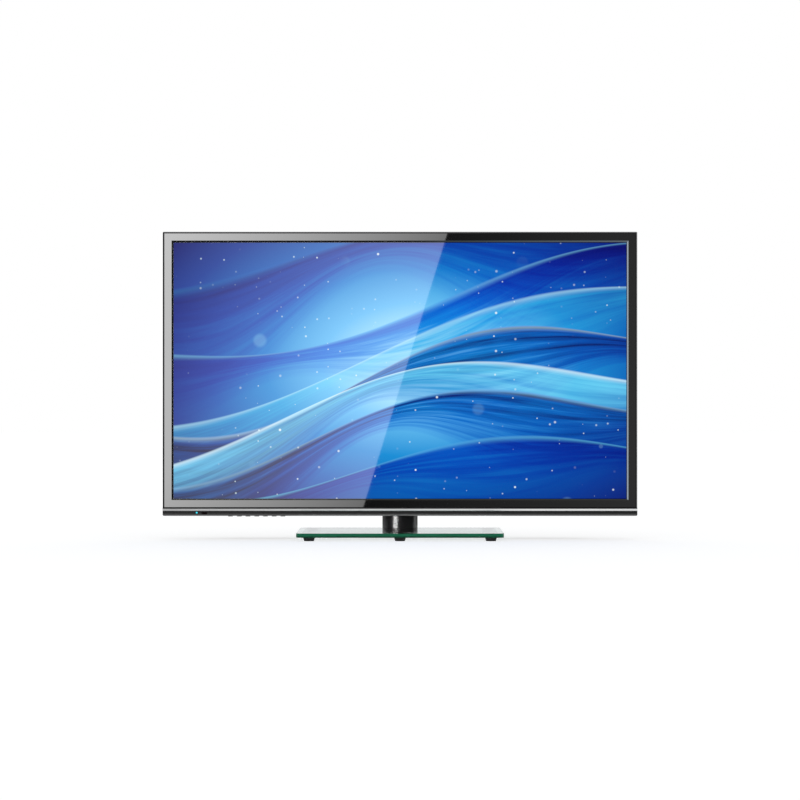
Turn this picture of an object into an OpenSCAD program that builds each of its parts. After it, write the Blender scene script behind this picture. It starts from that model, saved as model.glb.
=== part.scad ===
// Flat screen television on a glass table stand.
// Millimetres, +Z up, the screen faces -Y, the origin lies on the table under the neck's axis.

/* [Screen] */
// Width of the picture that shows
panel_w = 694.1; // [600:0.1:800]
// Height of the picture that shows
panel_h = 392.2; // [360:0.1:450]
// Dark margin between the picture and the frame's lip
panel_reveal = 1; // [0.2:0.1:1.5]
// Panel glass beyond the picture on each side
cell_margin = 5; // [4:0.5:7]
// Thickness of the panel glass
cell_t = 1.6; // [1:0.1:3]
// Thickness of the gasket between the frame and the panel glass
gasket_t = 0.5; // [0.3:0.1:1]
// How far the gasket stays back from the frame's lip
gasket_inset = 1; // [0.5:0.1:2]
// Thickness of the middle frame's ledge
mid_t = 1.4; // [1:0.1:2]
// Thickness of the middle frame's skirt around the tray
mid_skirt = 2.4; // [1.5:0.1:3]
// How far the middle frame's ledge stays clear of the picture
mid_clear = 1; // [0.5:0.1:2]
// Thickness of each optical sheet
sheet_t = 0.4; // [0.2:0.1:0.8]
// Thickness of the light guide
guide_t = 3; // [2:0.5:4]
// Thickness of the tray's steel
tray_t = 1; // [0.6:0.1:1.5]
// Thickness of the aluminium bar behind the lamp strip
spreader_t = 1.2; // [0.8:0.1:2]
// Thickness of the lamp strip's circuit board
led_board_t = 1; // [0.6:0.1:1.6]
// Height of one lamp
led_h = 1.2; // [0.8:0.1:2]
// Length of one lamp
led_w = 5; // [3:0.5:7]
// Number of lamps along the strip
led_count = 36; // [12:1:60]
// Clearance around pieces that drop into place
play = 0.3; // [0.2:0.05:0.5]

/* [Front frame] */
// Width of the frame's side rails
side_rail = 13.75; // [12:0.25:20]
// Width of the frame's top rail
top_rail = 13.6; // [12:0.1:20]
// Width of the frame's bottom rail
bottom_rail = 12.5; // [12:0.5:20]
// Width of the bevelled lip at the sides of the opening
lip_side = 2.2; // [0.5:0.1:3]
// Width of the bevelled lip at the top of the opening
lip_top = 2.4; // [0.5:0.1:3]
// Width of the bevelled lip at the bottom of the opening
lip_bottom = 1.3; // [0.5:0.1:3]
// Depth of that bevel
lip_depth = 1; // [0.6:0.1:1.8]
// Wall of the front frame
bezel_wall = 2.5; // [2:0.1:3]
// Depth of the front frame
bezel_d = 11; // [10:0.5:12]
// Rounding of the frame's outer front edge
edge_r = 2.8; // [1:0.1:3]
// Rounding of the frame's lower front edge, above the strip
chin_edge_r = 1.6; // [0.5:0.1:2]
// Rounding of the body's corners
corner_r = 2; // [1.5:0.5:6]
// Height of the silver strip
strip_h = 4; // [4:0.5:8]
// Depth of the silver strip
strip_d = 9; // [7:0.5:10]
// How far the strip's rounded face stands proud
strip_crown = 0.6; // [0.3:0.1:1]
// Height of the bar under the strip
bar_h = 8; // [8:0.5:12]
// Front and bottom wall of the bar
bar_wall = 2; // [1.5:0.1:2.2]
// Top wall of the bar
bar_top_t = 0.8; // [0.6:0.1:1]
// Rounding of the bar's lower front edge
bar_edge_r = 3.5; // [2:0.5:4]
// Number of screws that hold the bar and the strip
chin_screw_count = 5; // [3:2:7]
// Distance of the outer ones from the body's sides
chin_screw_inset = 34; // [28:1:42]

/* [Keys and indicator] */
// Distance of the first key from the body's side
key_inset = 103.8; // [95:0.1:120]
// Distance between keys
key_pitch = 13.4; // [12:0.1:16]
// Width of a key
key_w = 7; // [5:0.5:8]
// Depth of a key
key_d = 5; // [4:0.5:5]
// How far a key stands proud of the bar's underside
key_proud = 0.8; // [0.4:0.1:1.2]
// Travel of a key
key_travel = 0.5; // [0.3:0.05:0.6]
// Spare travel above a pressed key
key_spare = 0.1; // [0.05:0.05:0.2]
// Width of the flange that keeps a key in its hole
key_flange = 1.2; // [0.8:0.1:1.4]
// Thickness of that flange
key_flange_t = 0.8; // [0.6:0.1:1]
// Thickness of the small circuit boards
small_board_t = 1; // [0.8:0.1:1.2]
// Distance of the power light from the body's side
lens_inset = 52.3; // [48:0.1:55]
// Height of the power light above the bar's underside
lens_rise = 5.2; // [4:0.1:5.4]
// Diameter of the power light
lens_d = 2.6; // [2:0.1:2.8]
// Distance of the remote control window from the body's side
window_inset = 64; // [62:0.5:70]
// Width of the remote control window
window_w = 8; // [6:0.5:9]
// Height of the remote control window
window_h = 2.8; // [2:0.1:3]

/* [Rear cover] */
// Wall of the rear cover
cover_wall = 2.5; // [2:0.1:3]
// Depth of the cover's slim part
slim_d = 21; // [19:0.5:25]
// Bevel around the slim part's back
slim_bevel = 8; // [4:0.5:12]
// Depth of the housing on the cover's lower part
bulge_d = 40; // [39:0.5:50]
// Width of the housing at its foot
bulge_w = 600; // [580:5:640]
// Height of the housing at its foot
bulge_h = 300; // [296:2:320]
// How far the housing's top slopes
bulge_slope = 68; // [50:1:72]
// How far each of the housing's sides slopes
bulge_taper = 30; // [15:1:40]
// Bevel along the housing's lower back edge
bulge_edge = 4; // [2:0.5:4.5]
// Thickness of the tongue that reaches into the front frame
tongue_t = 1.2; // [0.8:0.1:1.5]
// Reach of that tongue
tongue_d = 4; // [2:0.5:5]
// Distance of the socket bays' walls from the middle
bay_x = 205; // [200:1:212]
// Height of the socket bays' floor above the cover's bottom
bay_rise = 76; // [70:1:80]
// Height of the signal socket bay
bay_h = 176; // [172:1:180]
// Height of the mains socket bay
inlet_bay_h = 60; // [50:1:80]
// Number of vent slots
vent_count = 30; // [10:1:36]
// Width of a vent slot
vent_w = 3; // [2:0.5:4]
// Distance between vent slots
vent_pitch = 11; // [9:0.5:12]
// Distance of the cover's screws from the body's sides
post_inset = 29; // [26:0.5:32]
// Distance of the cover's screws from the body's top
post_top = 24; // [22:0.5:30]
// Distance of the lowest of them from the body's bottom
post_low = 44; // [36:1:60]
// Diameter of the posts that the cover is screwed to
post_d = 9; // [7:0.5:11]

/* [Wall mount] */
// Distance between the wall mount's holes, across
vesa_x = 200; // [200:100:200]
// Distance between the wall mount's holes, up
vesa_z = 100; // [100:100:100]
// Height of the wall mount's middle above the cover's bottom
vesa_rise = 164; // [150:1:170]
// Diameter of the wall mount's posts
vesa_post_d = 14; // [10:0.5:16]
// Diameter of the wall mount's threaded holes
vesa_hole_d = 4; // [3:0.5:6]
// Depth of those holes
vesa_hole_depth = 20; // [10:1:30]

/* [Electronics] */
// Width of the main and power boards
board_w = 90; // [80:1:92]
// Thickness of the circuit boards
board_t = 1.6; // [1:0.1:2]
// Gap from the cover's slim back to the boards
board_gap = 2; // [1:0.5:4]
// Diameter of the boards' standoffs
standoff_d = 6; // [5:0.5:7]
// Inset of the standoffs from a board's edges
standoff_inset = 6; // [5:0.5:9]
// Width of the timing board
timing_w = 140; // [100:2:150]
// Height of the timing board
timing_h = 45; // [35:1:50]
// Gap between the tray and the timing board
timing_gap = 6; // [4:0.5:8]
// Width of the flat cable to the panel
ribbon_w = 24; // [15:1:30]
// Width of the flat supply cable
supply_w = 10; // [6:1:14]
// Thickness of the flat cables
ribbon_t = 0.8; // [0.4:0.1:1.2]
// Diameter of the boards' and the frame's screws
small_screw_d = 3; // [2.5:0.1:3]
// Diameter of a screw's clearance hole beyond its shank
screw_play = 0.2; // [0.1:0.05:0.4]
// Distance of the speakers from the middle
speaker_x = 230; // [215:1:234]
// Width of a speaker box
speaker_w = 76; // [60:1:80]
// Depth of a speaker box
speaker_d = 42; // [42:1:46]
// Height of a speaker box
speaker_h = 30; // [20:1:34]
// Diameter of a speaker
driver_d = 40; // [30:1:40]
// Height of the foam ring under a speaker
foam_t = 4; // [2:0.5:6]

/* [Stand] */
// Width of the glass base
base_w = 315; // [300:1:400]
// Depth of the glass base
base_d = 200; // [180:1:260]
// Thickness of the glass base
base_t = 6.5; // [5:0.5:10]
// Rounding of the glass base's corners
base_corner_r = 10; // [4:1:30]
// Height of the rubber feet
foot_h = 5.5; // [5:0.5:10]
// Diameter of the feet under the glass
foot_d = 18; // [14:1:24]
// Diameter of the feet on the table
foot_floor_d = 15; // [10:1:17]
// Distance of the outer feet from the glass's sides
foot_inset_x = 19.5; // [14:0.5:40]
// Distance of the feet from the glass's front and back edges
foot_inset_y = 15; // [13:0.5:40]
// Diameter of the neck
neck_d = 54.5; // [50:0.5:56]
// Wall of the neck
neck_wall = 4.25; // [4:0.05:5]
// Thickness of the neck's floor
neck_floor = 8; // [6:0.5:12]
// Height of neck that shows under the body
neck_show = 19.2; // [15:0.1:60]
// Length of neck inside the rear cover
neck_inside = 30; // [20:1:50]
// Gap from the neck to the tray
neck_gap = 1.55; // [1:0.05:4]
// Height of the collar that the neck turns on
collar_h = 4.5; // [4:0.1:6]
// Gap between the collar and the neck
seam = 0.3; // [0.2:0.05:0.6]
// Diameter of the spindle
spindle_d = 12; // [10:0.5:14]
// Radial running fit of the spindle in the neck
spindle_fit = 0.05; // [0.02:0.01:0.1]
// Turn of the screen to each side, in degrees
swivel_limit = 20; // [10:1:30]
// Diameter of the stop pin under the neck
stop_d = 4; // [3:0.5:4.5]
// Thickness of the plate under the glass
clamp_t = 1.5; // [1:0.1:2]
// Diameter of the screws up through the glass
base_screw_d = 4; // [3:0.5:4]
// Thickness of the steel bracket on the neck
bracket_t = 3; // [2:0.5:4]
// Width of the bracket's upright
bracket_w = 160; // [120:2:170]
// Height of the bracket's upright
bracket_h = 84; // [70:1:95]

/* [Hidden] */
$fn = 64;

// A cut reaches this far past the face that it opens
cut = 1;
// Pieces of one solid overlap by this much
weld = 0.2;
// Inset factor at the end of a 45 degree bevel
bevel_inset = tan(22.5);
// Turn between neighbouring screws of a ring of three, and of four
third = 120;
quarter = 90;

// Heights of the stand
glass_z = foot_h;
collar_z = glass_z + base_t;
collar_top = collar_z + collar_h;
neck_z = collar_top + seam;
neck_floor_top = neck_z + neck_floor;
body_z = neck_z + neck_show;
neck_top = body_z + neck_inside;
neck_in_r = neck_d / 2 - neck_wall;
clamp_d = neck_d;

// Heights of the front, from the bottom
bar_top = body_z + bar_h;
strip_top = bar_top + strip_h;
open_w = panel_w + 2 * (panel_reveal + lip_side);
open_h = panel_h + 2 * panel_reveal + lip_top + lip_bottom;
open_z = strip_top + bottom_rail;
panel_z = open_z + lip_bottom + panel_reveal + panel_h / 2;
body_w = open_w + 2 * side_rail;
body_top = open_z + open_h + top_rail;
body_h = body_top - body_z;

// Depths, from the neck's axis forward
stack_d = bezel_wall + gasket_t + cell_t + mid_t + 3 * sheet_t + guide_t + tray_t;
tray_back = -(neck_d / 2 + neck_gap);
front_y = tray_back - stack_d;
gasket_y = front_y + bezel_wall;
cell_y = gasket_y + gasket_t;
mid_y = cell_y + cell_t;
sheet_y = mid_y + mid_t;
guide_y = sheet_y + 2 * sheet_t;
reflector_y = guide_y + guide_t;
tray_y = reflector_y + sheet_t;
split_y = front_y + bezel_d;
slim_back = split_y + slim_d;
bulge_back = slim_back + bulge_d;
cover_in = slim_back - cover_wall;

// The panel's stack
cell_w = panel_w + 2 * cell_margin;
cell_h = panel_h + 2 * cell_margin;
tray_in_w = cell_w - 2 * tray_t;
tray_in_h = cell_h - 2 * tray_t;
tray_floor = panel_z - tray_in_h / 2;
led_z = tray_floor + spreader_t;
guide_z = led_z + led_board_t + led_h + play;
guide_w = tray_in_w - 2 * play;
guide_h = panel_z + tray_in_h / 2 - play - guide_z;
led_len = guide_w;
led_d = tray_y - sheet_y - 2 * play;

// The bar, its keys and its light
bar_in_z = body_z + bar_wall;
bar_ceiling = bar_top - bar_top_t;
bar_in_y = front_y + bar_wall;
key_y = (bar_in_y + split_y) / 2 - play;
key_board_z = bar_ceiling - small_board_t;
switch_z = bar_in_z + key_flange_t + key_travel + key_spare;
key_count = 7;
function key_x(i) = -body_w / 2 + key_inset + i * key_pitch;
lens_x = -body_w / 2 + lens_inset;
lens_z = body_z + lens_rise;
lens_rim = 0.35;
lens_proud = 0.3;
lens_flange_t = 1;
signal_y = bar_in_y + lens_flange_t;
window_x = -body_w / 2 + window_inset;
window_z = (bar_in_z + bar_ceiling) / 2 - play;
window_rim = 0.8;
strip_r = (strip_h * strip_h / 4 + strip_crown * strip_crown) / (2 * strip_crown);
chin_y = front_y + strip_d / 2 + bar_wall;
key_board_x = [key_x(0) - key_w, key_x(key_count - 1) + key_w];
head_d = 2 * small_screw_d;
head_h = 0.6 * small_screw_d;
chin_clear = head_d / 2 + play;
// A chin screw that would meet the key board moves to the board's inner end
function clear_of_keys(x) =
    x > key_board_x[0] - chin_clear && x < key_board_x[1] + chin_clear ? key_board_x[1] + chin_clear : x;
chin_x = [for (i = [0 : chin_screw_count - 1])
    clear_of_keys((body_w / 2 - chin_screw_inset) * (2 * i / (chin_screw_count - 1) - 1))];

// The rear cover
slope_len = sqrt(bulge_d * bulge_d + bulge_slope * bulge_slope);
taper_len = sqrt(bulge_d * bulge_d + bulge_taper * bulge_taper);
slope_z = body_z + bulge_h - bulge_slope;
function slope_at(y, s) =
    body_z + bulge_h - (y - slim_back) * bulge_slope / bulge_d - s * slope_len / bulge_d;
function taper_at(y, s) =
    bulge_w / 2 - (y - slim_back) * bulge_taper / bulge_d - s * taper_len / bulge_d;
bay_z = body_z + bay_rise;
bay_reach = bulge_w;
vent_margin = 10;
post_x = body_w / 2 - post_inset;
post_z = [for (k = [0 : 3]) body_z + post_low + k * (body_h - post_low - post_top) / 3];
post_places = concat(
    [for (side = [-1, 1], z = post_z) [side * post_x, z]],
    [for (k = [-1 : 1]) [k * post_x / 2, post_z[3]]]);
post_screw_depth = 10;

// The wall mount
vesa_mid = body_z + vesa_rise;
vesa_places = [for (sx = [-1, 1], sz = [-1, 1]) [sx * vesa_x / 2, vesa_mid + sz * vesa_z / 2]];

// The boards and sockets
board_y = slim_back + board_gap;
board_back = board_y + board_t;
board_edge = bay_x - cover_wall - play;
board_h = bay_h;
board_mid = board_edge - board_w / 2;
timing_y = tray_back + timing_gap;
timing_z = vesa_mid;
function socket_z(i) = bay_z + (i + 0.5) * bay_h / slot_count;
socket_face = bay_x - play;
inlet_z = bay_z + inlet_bay_h / 2;
inlet_w = 26;
inlet_h = 16;
hdmi_w = 15;
hdmi_h = 5.6;
usb_w = 13.2;
usb_h = 6;
vga_w = 30;
vga_h = 12;
vga_shell_w = 17;
vga_shell_h = 8;
av_block = 12;
av_d = 8.4;
av_hole_d = 3.2;
antenna_block = 14;
antenna_d = 9.4;
antenna_hole_d = 2;
phone_block = 11;
phone_d = 7;
phone_hole_d = 3.5;
jack_reach = 8;
socket_d = 14;
socket_depth = 0.8 * socket_d;
socket_wall = 0.8;
antenna_slot = 0;
phone_slot = 1;
av_slots = [2, 3, 4];
vga_slot = 5.5;
hdmi_slots = [7, 8];
usb_slot = 9;
slot_count = 10;
cable_gap = 2;
supply_z = vesa_mid + vesa_z / 2 + vesa_post_d / 2 + supply_w / 2 + cable_gap;
cable_lap = 10;
heat_sink_h = 6;
chip_h = 2;
transformer_h = 16;
cooling_fin_h = 15;
capacitor_h = 14;

// The speakers
cover_floor = body_z + cover_wall;
driver_z = cover_floor + foam_t;
driver_flange_t = 2;
speaker_z = driver_z + driver_flange_t;
speaker_y = 0;
speaker_wall = 2;
driver_flange_w = 3;
driver_in_d = driver_d - 2 * driver_flange_w;
cone_rise = 6;
cone_edge = 2;
cone_lip = 0.6;
basket_wall = 2;
basket_rise = 8;
driver_h = 16;
grille_count = 8;
grille_pitch = driver_in_d / grille_count;

// The stand's joint
foot_rows = [-1, 1];
foot_x = base_w / 2 - foot_inset_x;
foot_y = base_d / 2 - foot_inset_y;
ring_inset = 6.75;
screw_ring_r = neck_d / 2 - ring_inset;
stop_r = screw_ring_r;
stop_depth = collar_h / 2;
stop_half = swivel_limit + asin(stop_d / 2 / stop_r) + 1;
washer_gap = 2;
washer_r = stop_r - stop_d / 2 - washer_gap;
washer_bore_gap = 4;
washer_in_r = spindle_d / 2 + washer_bore_gap;
washer_sink = 1;
spindle_head_d = 2 * spindle_d;
base_head_d = 1.75 * base_screw_d;
nut_af = 1.55 * spindle_d;
nut_h = 8;
flat_washer_t = 1.5;
flat_washer_r = 0.75 * nut_af;
wave_washer_t = 2;
wave_washer_r = 0.65 * nut_af;
nut_z = neck_floor_top + flat_washer_t + wave_washer_t;
spindle_spare = 2;
spindle_top = nut_z + nut_h + spindle_spare;
neck_screw_r = neck_d / 2 - neck_wall / 2;
neck_screw_len = 12;
bracket_screw_d = 4;
bracket_screw_inset = 20;
bracket_screw_x = bracket_w / 2 - bracket_screw_inset;
bracket_ledge = 12;
bracket_screw_z = [neck_top + 0.35 * bracket_h, neck_top + 0.85 * bracket_h];

// Colours
piano_black = [0.07, 0.07, 0.08];
matt_black = [0.13, 0.13, 0.14];
silver = [0.72, 0.73, 0.74];
steel = [0.62, 0.64, 0.66];
brass = [0.78, 0.66, 0.38];
glass_green = [0.55, 0.75, 0.66, 0.7];
screen_blue = [0.05, 0.35, 0.7];
sheet_white = [0.93, 0.94, 0.95];
board_green = [0.1, 0.38, 0.22];
rubber = [0.2, 0.19, 0.19];
cyan = [0.2, 0.85, 0.95];
nylon = [0.88, 0.87, 0.82];

// Outlines and directions

module along_x(x0, x1) {
    translate([x0, 0, 0]) rotate([90, 0, 90]) linear_extrude(x1 - x0) children();
}

module along_y(y0, y1) {
    translate([0, y1, 0]) rotate([90, 0, 0]) linear_extrude(y1 - y0) children();
}

module along_z(z0, z1) {
    translate([0, 0, z0]) linear_extrude(z1 - z0) children();
}

module block(x0, x1, y0, y1, z0, z1) {
    translate([x0, y0, z0]) cube([x1 - x0, y1 - y0, z1 - z0]);
}

module rounded(w, h, r) {
    square([w - 2 * r, h], center = true);
    square([w, h - 2 * r], center = true);
    for (sx = [-1, 1], sy = [-1, 1])
        translate([sx * (w / 2 - r), sy * (h / 2 - r)]) circle(r);
}

// The body's outline from the front, drawn in by s
module outline(s) {
    translate([0, body_z + body_h / 2])
        rounded(body_w - 2 * s, body_h - 2 * s, max(corner_r - s, 0.4));
}

// A flat slab of the panel's stack, centred on the picture
module slab(w, h, y0, t) {
    block(-w / 2, w / 2, y0, y0 + t, panel_z - h / 2, panel_z + h / 2);
}

// A screw whose head sits at the origin and whose shank goes down
module pan_screw(d, length, hd, hh) {
    cross_l = 0.6 * hd;
    cross_w = 0.12 * hd;
    cross_floor = 0.4 * hh;
    difference() {
        union() {
            cylinder(h = hh, d = hd);
            translate([0, 0, -length]) cylinder(h = length + weld, d = d);
        }
        for (turn = [0, quarter])
            rotate([0, 0, turn])
                translate([-cross_l / 2, -cross_w / 2, cross_floor]) cube([cross_l, cross_w, hh]);
    }
}

module facing_back() {
    rotate([-90, 0, 0]) children();
}

module facing_down() {
    rotate([180, 0, 0]) children();
}

// A rod or a hole along +Y
module rod_y(x, y0, y1, z, d) {
    translate([x, y0, z]) rotate([-90, 0, 0]) cylinder(h = y1 - y0, d = d);
}

// Base of the stand

module rubber_feet() {
    color(rubber)
        for (x = [-foot_x, 0, foot_x], row = foot_rows)
            translate([x, row * foot_y, 0]) cylinder(h = foot_h, d1 = foot_floor_d, d2 = foot_d);
}

module base_screw_places() {
    for (k = [0 : 2]) rotate([0, 0, third / 4 + k * third]) translate([screw_ring_r, 0, 0]) children();
}

module base_screw_holes(z0, z1) {
    base_screw_places()
        translate([0, 0, z0]) cylinder(h = z1 - z0, d = base_screw_d + screw_play);
}

module spindle_hole(z0, z1) {
    translate([0, 0, z0]) cylinder(h = z1 - z0, r = spindle_d / 2 + spindle_fit);
}

module glass_base() {
    color(glass_green)
        difference() {
            along_z(glass_z, collar_z) rounded(base_w, base_d, base_corner_r);
            spindle_hole(glass_z - cut, collar_z + cut);
            base_screw_holes(glass_z - cut, collar_z + cut);
        }
}

module clamp_plate() {
    color(steel)
        difference() {
            translate([0, 0, glass_z - clamp_t]) cylinder(h = clamp_t, d = clamp_d);
            spindle_hole(glass_z - clamp_t - cut, glass_z + cut);
            base_screw_holes(glass_z - clamp_t - cut, glass_z + cut);
        }
}

module base_screws() {
    color(steel)
        base_screw_places()
            translate([0, 0, glass_z - clamp_t])
                facing_down()
                    pan_screw(base_screw_d, clamp_t + base_t + collar_h / 2, base_head_d, clamp_t);
}

module swivel_collar() {
    color(piano_black)
        difference() {
            translate([0, 0, collar_z]) cylinder(h = collar_h, d = neck_d);
            spindle_hole(collar_z - cut, collar_top + cut);
            base_screw_holes(collar_z - cut, collar_z + collar_h / 2 + play);
            translate([0, 0, collar_top - washer_sink])
                cylinder(h = washer_sink + cut, r = washer_r + screw_play / 2);
            rotate([0, 0, 90 - stop_half])
                rotate_extrude(angle = 2 * stop_half)
                    translate([stop_r - stop_d / 2 - play, collar_top - stop_depth - play])
                        square([stop_d + 2 * play, stop_depth + play + cut]);
        }
}

module spindle() {
    color(steel) {
        translate([0, 0, glass_z - 2 * clamp_t]) cylinder(h = clamp_t, d = spindle_head_d);
        translate([0, 0, glass_z - clamp_t - weld])
            cylinder(h = spindle_top - glass_z + clamp_t + weld, d = spindle_d);
    }
}

module ring(z, h, r_out, r_in) {
    translate([0, 0, z])
        difference() {
            cylinder(h = h, r = r_out);
            translate([0, 0, -cut]) cylinder(h = h + 2 * cut, r = r_in);
        }
}

module thrust_washer() {
    color(nylon) ring(collar_top - washer_sink, washer_sink + seam, washer_r, washer_in_r);
}

module spindle_washers() {
    color(steel) {
        ring(neck_floor_top, flat_washer_t, flat_washer_r, spindle_d / 2 + spindle_fit);
        ring(neck_floor_top + flat_washer_t, wave_washer_t, wave_washer_r, spindle_d / 2 + spindle_fit);
    }
}

module lock_nut() {
    color(steel)
        translate([0, 0, nut_z])
            difference() {
                cylinder(h = nut_h, d = nut_af / cos(30), $fn = 6);
                translate([0, 0, -cut]) cylinder(h = nut_h + 2 * cut, r = spindle_d / 2 + spindle_fit);
            }
}

// Neck and bracket that carry the screen

module neck_screw_places() {
    for (k = [0 : 3]) rotate([0, 0, quarter / 2 + k * quarter]) translate([neck_screw_r, 0, 0]) children();
}

module neck_post() {
    color(piano_black)
        difference() {
            union() {
                translate([0, 0, neck_z]) cylinder(h = neck_top - neck_z, d = neck_d);
                rotate([0, 0, 90])
                    translate([stop_r, 0, collar_top - stop_depth])
                        cylinder(h = stop_depth + seam + weld, d = stop_d);
            }
            spindle_hole(neck_z - cut, neck_floor_top + cut);
            translate([0, 0, neck_floor_top]) cylinder(h = neck_top - neck_floor_top + cut, r = neck_in_r);
            neck_screw_places()
                translate([0, 0, neck_top - neck_screw_len - play])
                    cylinder(h = neck_screw_len + play + cut, d = small_screw_d + screw_play);
        }
}

module stand_bracket() {
    plate_half = neck_d / 2 + bracket_ledge;
    color(steel)
        difference() {
            union() {
                block(-plate_half, plate_half, tray_back, neck_d / 2, neck_top, neck_top + bracket_t);
                block(-bracket_w / 2, bracket_w / 2, tray_back, tray_back + bracket_t,
                    neck_top, neck_top + bracket_h);
            }
            neck_screw_places()
                translate([0, 0, neck_top - cut])
                    cylinder(h = bracket_t + 2 * cut, d = small_screw_d + screw_play);
            bracket_screw_holes();
        }
}

module bracket_screw_holes() {
    for (side = [-1, 1], z = bracket_screw_z)
        rod_y(side * bracket_screw_x, tray_y - cut, tray_back + bracket_t + cut, z,
            bracket_screw_d + screw_play);
}

module neck_screws() {
    color(steel)
        neck_screw_places()
            translate([0, 0, neck_top + bracket_t])
                pan_screw(small_screw_d, bracket_t + neck_screw_len, head_d, head_h);
}

module bracket_screws() {
    color(steel)
        for (side = [-1, 1], z = bracket_screw_z)
            translate([side * bracket_screw_x, tray_back + bracket_t, z])
                facing_back()
                    pan_screw(bracket_screw_d, bracket_t + tray_t, 2 * bracket_screw_d, bracket_screw_d / 2);
}

// Front frame

// The front's block, with rounded front edges all around
module front_form(z0, z1) {
    intersection() {
        along_y(front_y, split_y) outline(0);
        along_z(z0, z1) {
            translate([-body_w / 2, front_y + edge_r]) square([body_w, bezel_d - edge_r]);
            translate([-body_w / 2 + edge_r, front_y]) square([body_w - 2 * edge_r, bezel_d]);
            for (side = [-1, 1])
                translate([side * (body_w / 2 - edge_r), front_y + edge_r]) circle(edge_r);
        }
        along_x(-body_w, body_w) {
            translate([front_y + edge_r, panel_z]) square([bezel_d - edge_r, body_top - panel_z]);
            translate([front_y + chin_edge_r, z0]) square([bezel_d - chin_edge_r, panel_z - z0 + weld]);
            translate([front_y, z0 + chin_edge_r]) square([bezel_d, body_top - edge_r - z0 - chin_edge_r]);
            translate([front_y + edge_r, body_top - edge_r]) circle(edge_r);
            translate([front_y + chin_edge_r, z0 + chin_edge_r]) circle(chin_edge_r);
        }
    }
}

// The opening, whose lip slopes in from the front
module bezel_opening() {
    back_w = open_w - 2 * lip_side;
    back_h = open_h - lip_top - lip_bottom;
    lip_y = front_y + lip_depth;
    intersection() {
        along_z(open_z - cut, open_z + open_h + cut)
            polygon([
                [-open_w / 2, front_y], [open_w / 2, front_y], [back_w / 2, lip_y],
                [back_w / 2, gasket_y + cut], [-back_w / 2, gasket_y + cut], [-back_w / 2, lip_y]]);
        along_x(-open_w, open_w)
            polygon([
                [front_y, open_z], [front_y, open_z + open_h], [lip_y, panel_z + back_h / 2],
                [gasket_y + cut, panel_z + back_h / 2], [gasket_y + cut, panel_z - back_h / 2],
                [lip_y, panel_z - back_h / 2]]);
    }
}

module chin_screw_holes(z0, z1) {
    for (x = chin_x)
        translate([x, chin_y, z0]) cylinder(h = z1 - z0, d = small_screw_d + screw_play);
}

module front_bezel() {
    color(piano_black)
        difference() {
            front_form(strip_top, body_top);
            bezel_opening();
            intersection() {
                along_y(gasket_y, split_y + cut) outline(bezel_wall);
                block(-body_w, body_w, gasket_y, split_y + cut, strip_top + bezel_wall, body_top);
            }
            chin_screw_holes(strip_top - cut, strip_top + bezel_wall + cut);
        }
}

module chin_strip() {
    strip_mid = bar_top + strip_h / 2;
    color(silver)
        difference() {
            along_x(-body_w / 2, body_w / 2)
                intersection() {
                    translate([front_y - strip_crown, bar_top]) square([strip_d + strip_crown, strip_h]);
                    union() {
                        translate([front_y - strip_crown + strip_r, strip_mid]) circle(strip_r);
                        translate([front_y + weld, bar_top]) square([strip_d - weld, strip_h]);
                    }
                }
            chin_screw_holes(bar_top - cut, strip_top + cut);
        }
}

module key_hole(i) {
    block(key_x(i) - key_w / 2 - play, key_x(i) + key_w / 2 + play,
        key_y - key_d / 2 - play, key_y + key_d / 2 + play, body_z - cut, bar_in_z + cut);
}

module chin_bar() {
    color(piano_black)
        difference() {
            intersection() {
                along_y(front_y, split_y) outline(0);
                along_x(-body_w / 2, body_w / 2) {
                    translate([front_y + bar_edge_r, body_z]) square([bezel_d - bar_edge_r, bar_h]);
                    translate([front_y, body_z + bar_edge_r]) square([bezel_d, bar_h - bar_edge_r]);
                    translate([front_y + bar_edge_r, body_z + bar_edge_r]) circle(bar_edge_r);
                }
            }
            block(-body_w / 2 + bar_wall, body_w / 2 - bar_wall, bar_in_y, split_y + cut,
                bar_in_z, bar_ceiling);
            chin_screw_holes(bar_ceiling - cut, bar_top + cut);
            rod_y(lens_x, front_y - cut, bar_in_y + cut, lens_z, lens_d + screw_play);
            block(window_x - window_w / 2 - screw_play, window_x + window_w / 2 + screw_play,
                front_y - cut, bar_in_y + cut,
                window_z - window_h / 2 - screw_play, window_z + window_h / 2 + screw_play);
            for (i = [0 : key_count - 1]) key_hole(i);
        }
}

module chin_screws() {
    color(steel)
        for (x = chin_x)
            translate([x, chin_y, bar_ceiling])
                facing_down()
                    pan_screw(small_screw_d, bar_top_t + strip_h + bezel_wall, head_d, head_h);
}

module indicator_lens() {
    color(cyan) {
        rod_y(lens_x, front_y - lens_proud, bar_in_y + weld, lens_z, lens_d);
        rod_y(lens_x, bar_in_y, signal_y, lens_z, lens_d + 2 * lens_rim);
    }
}

module ir_window() {
    color(matt_black) {
        block(window_x - window_w / 2, window_x + window_w / 2, front_y, bar_in_y + weld,
            window_z - window_h / 2, window_z + window_h / 2);
        block(window_x - window_w / 2 - window_rim, window_x + window_w / 2 + window_rim, bar_in_y, signal_y,
            window_z - window_h / 2, window_z + window_h / 2);
    }
}

module signal_board() {
    color(board_green)
        block(lens_x - lens_d, window_x + window_w / 2 + lens_d, signal_y, signal_y + small_board_t,
            bar_in_z, bar_ceiling);
}

module key_board() {
    switch_trim = 1;
    switch_w = key_w - switch_trim;
    color(board_green) {
        block(key_board_x[0], key_board_x[1], bar_in_y, split_y, key_board_z, bar_ceiling);
        for (i = [0 : key_count - 1])
            block(key_x(i) - switch_w / 2, key_x(i) + switch_w / 2, key_y - key_d / 2, key_y + key_d / 2,
                switch_z, key_board_z + weld);
    }
}

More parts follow.
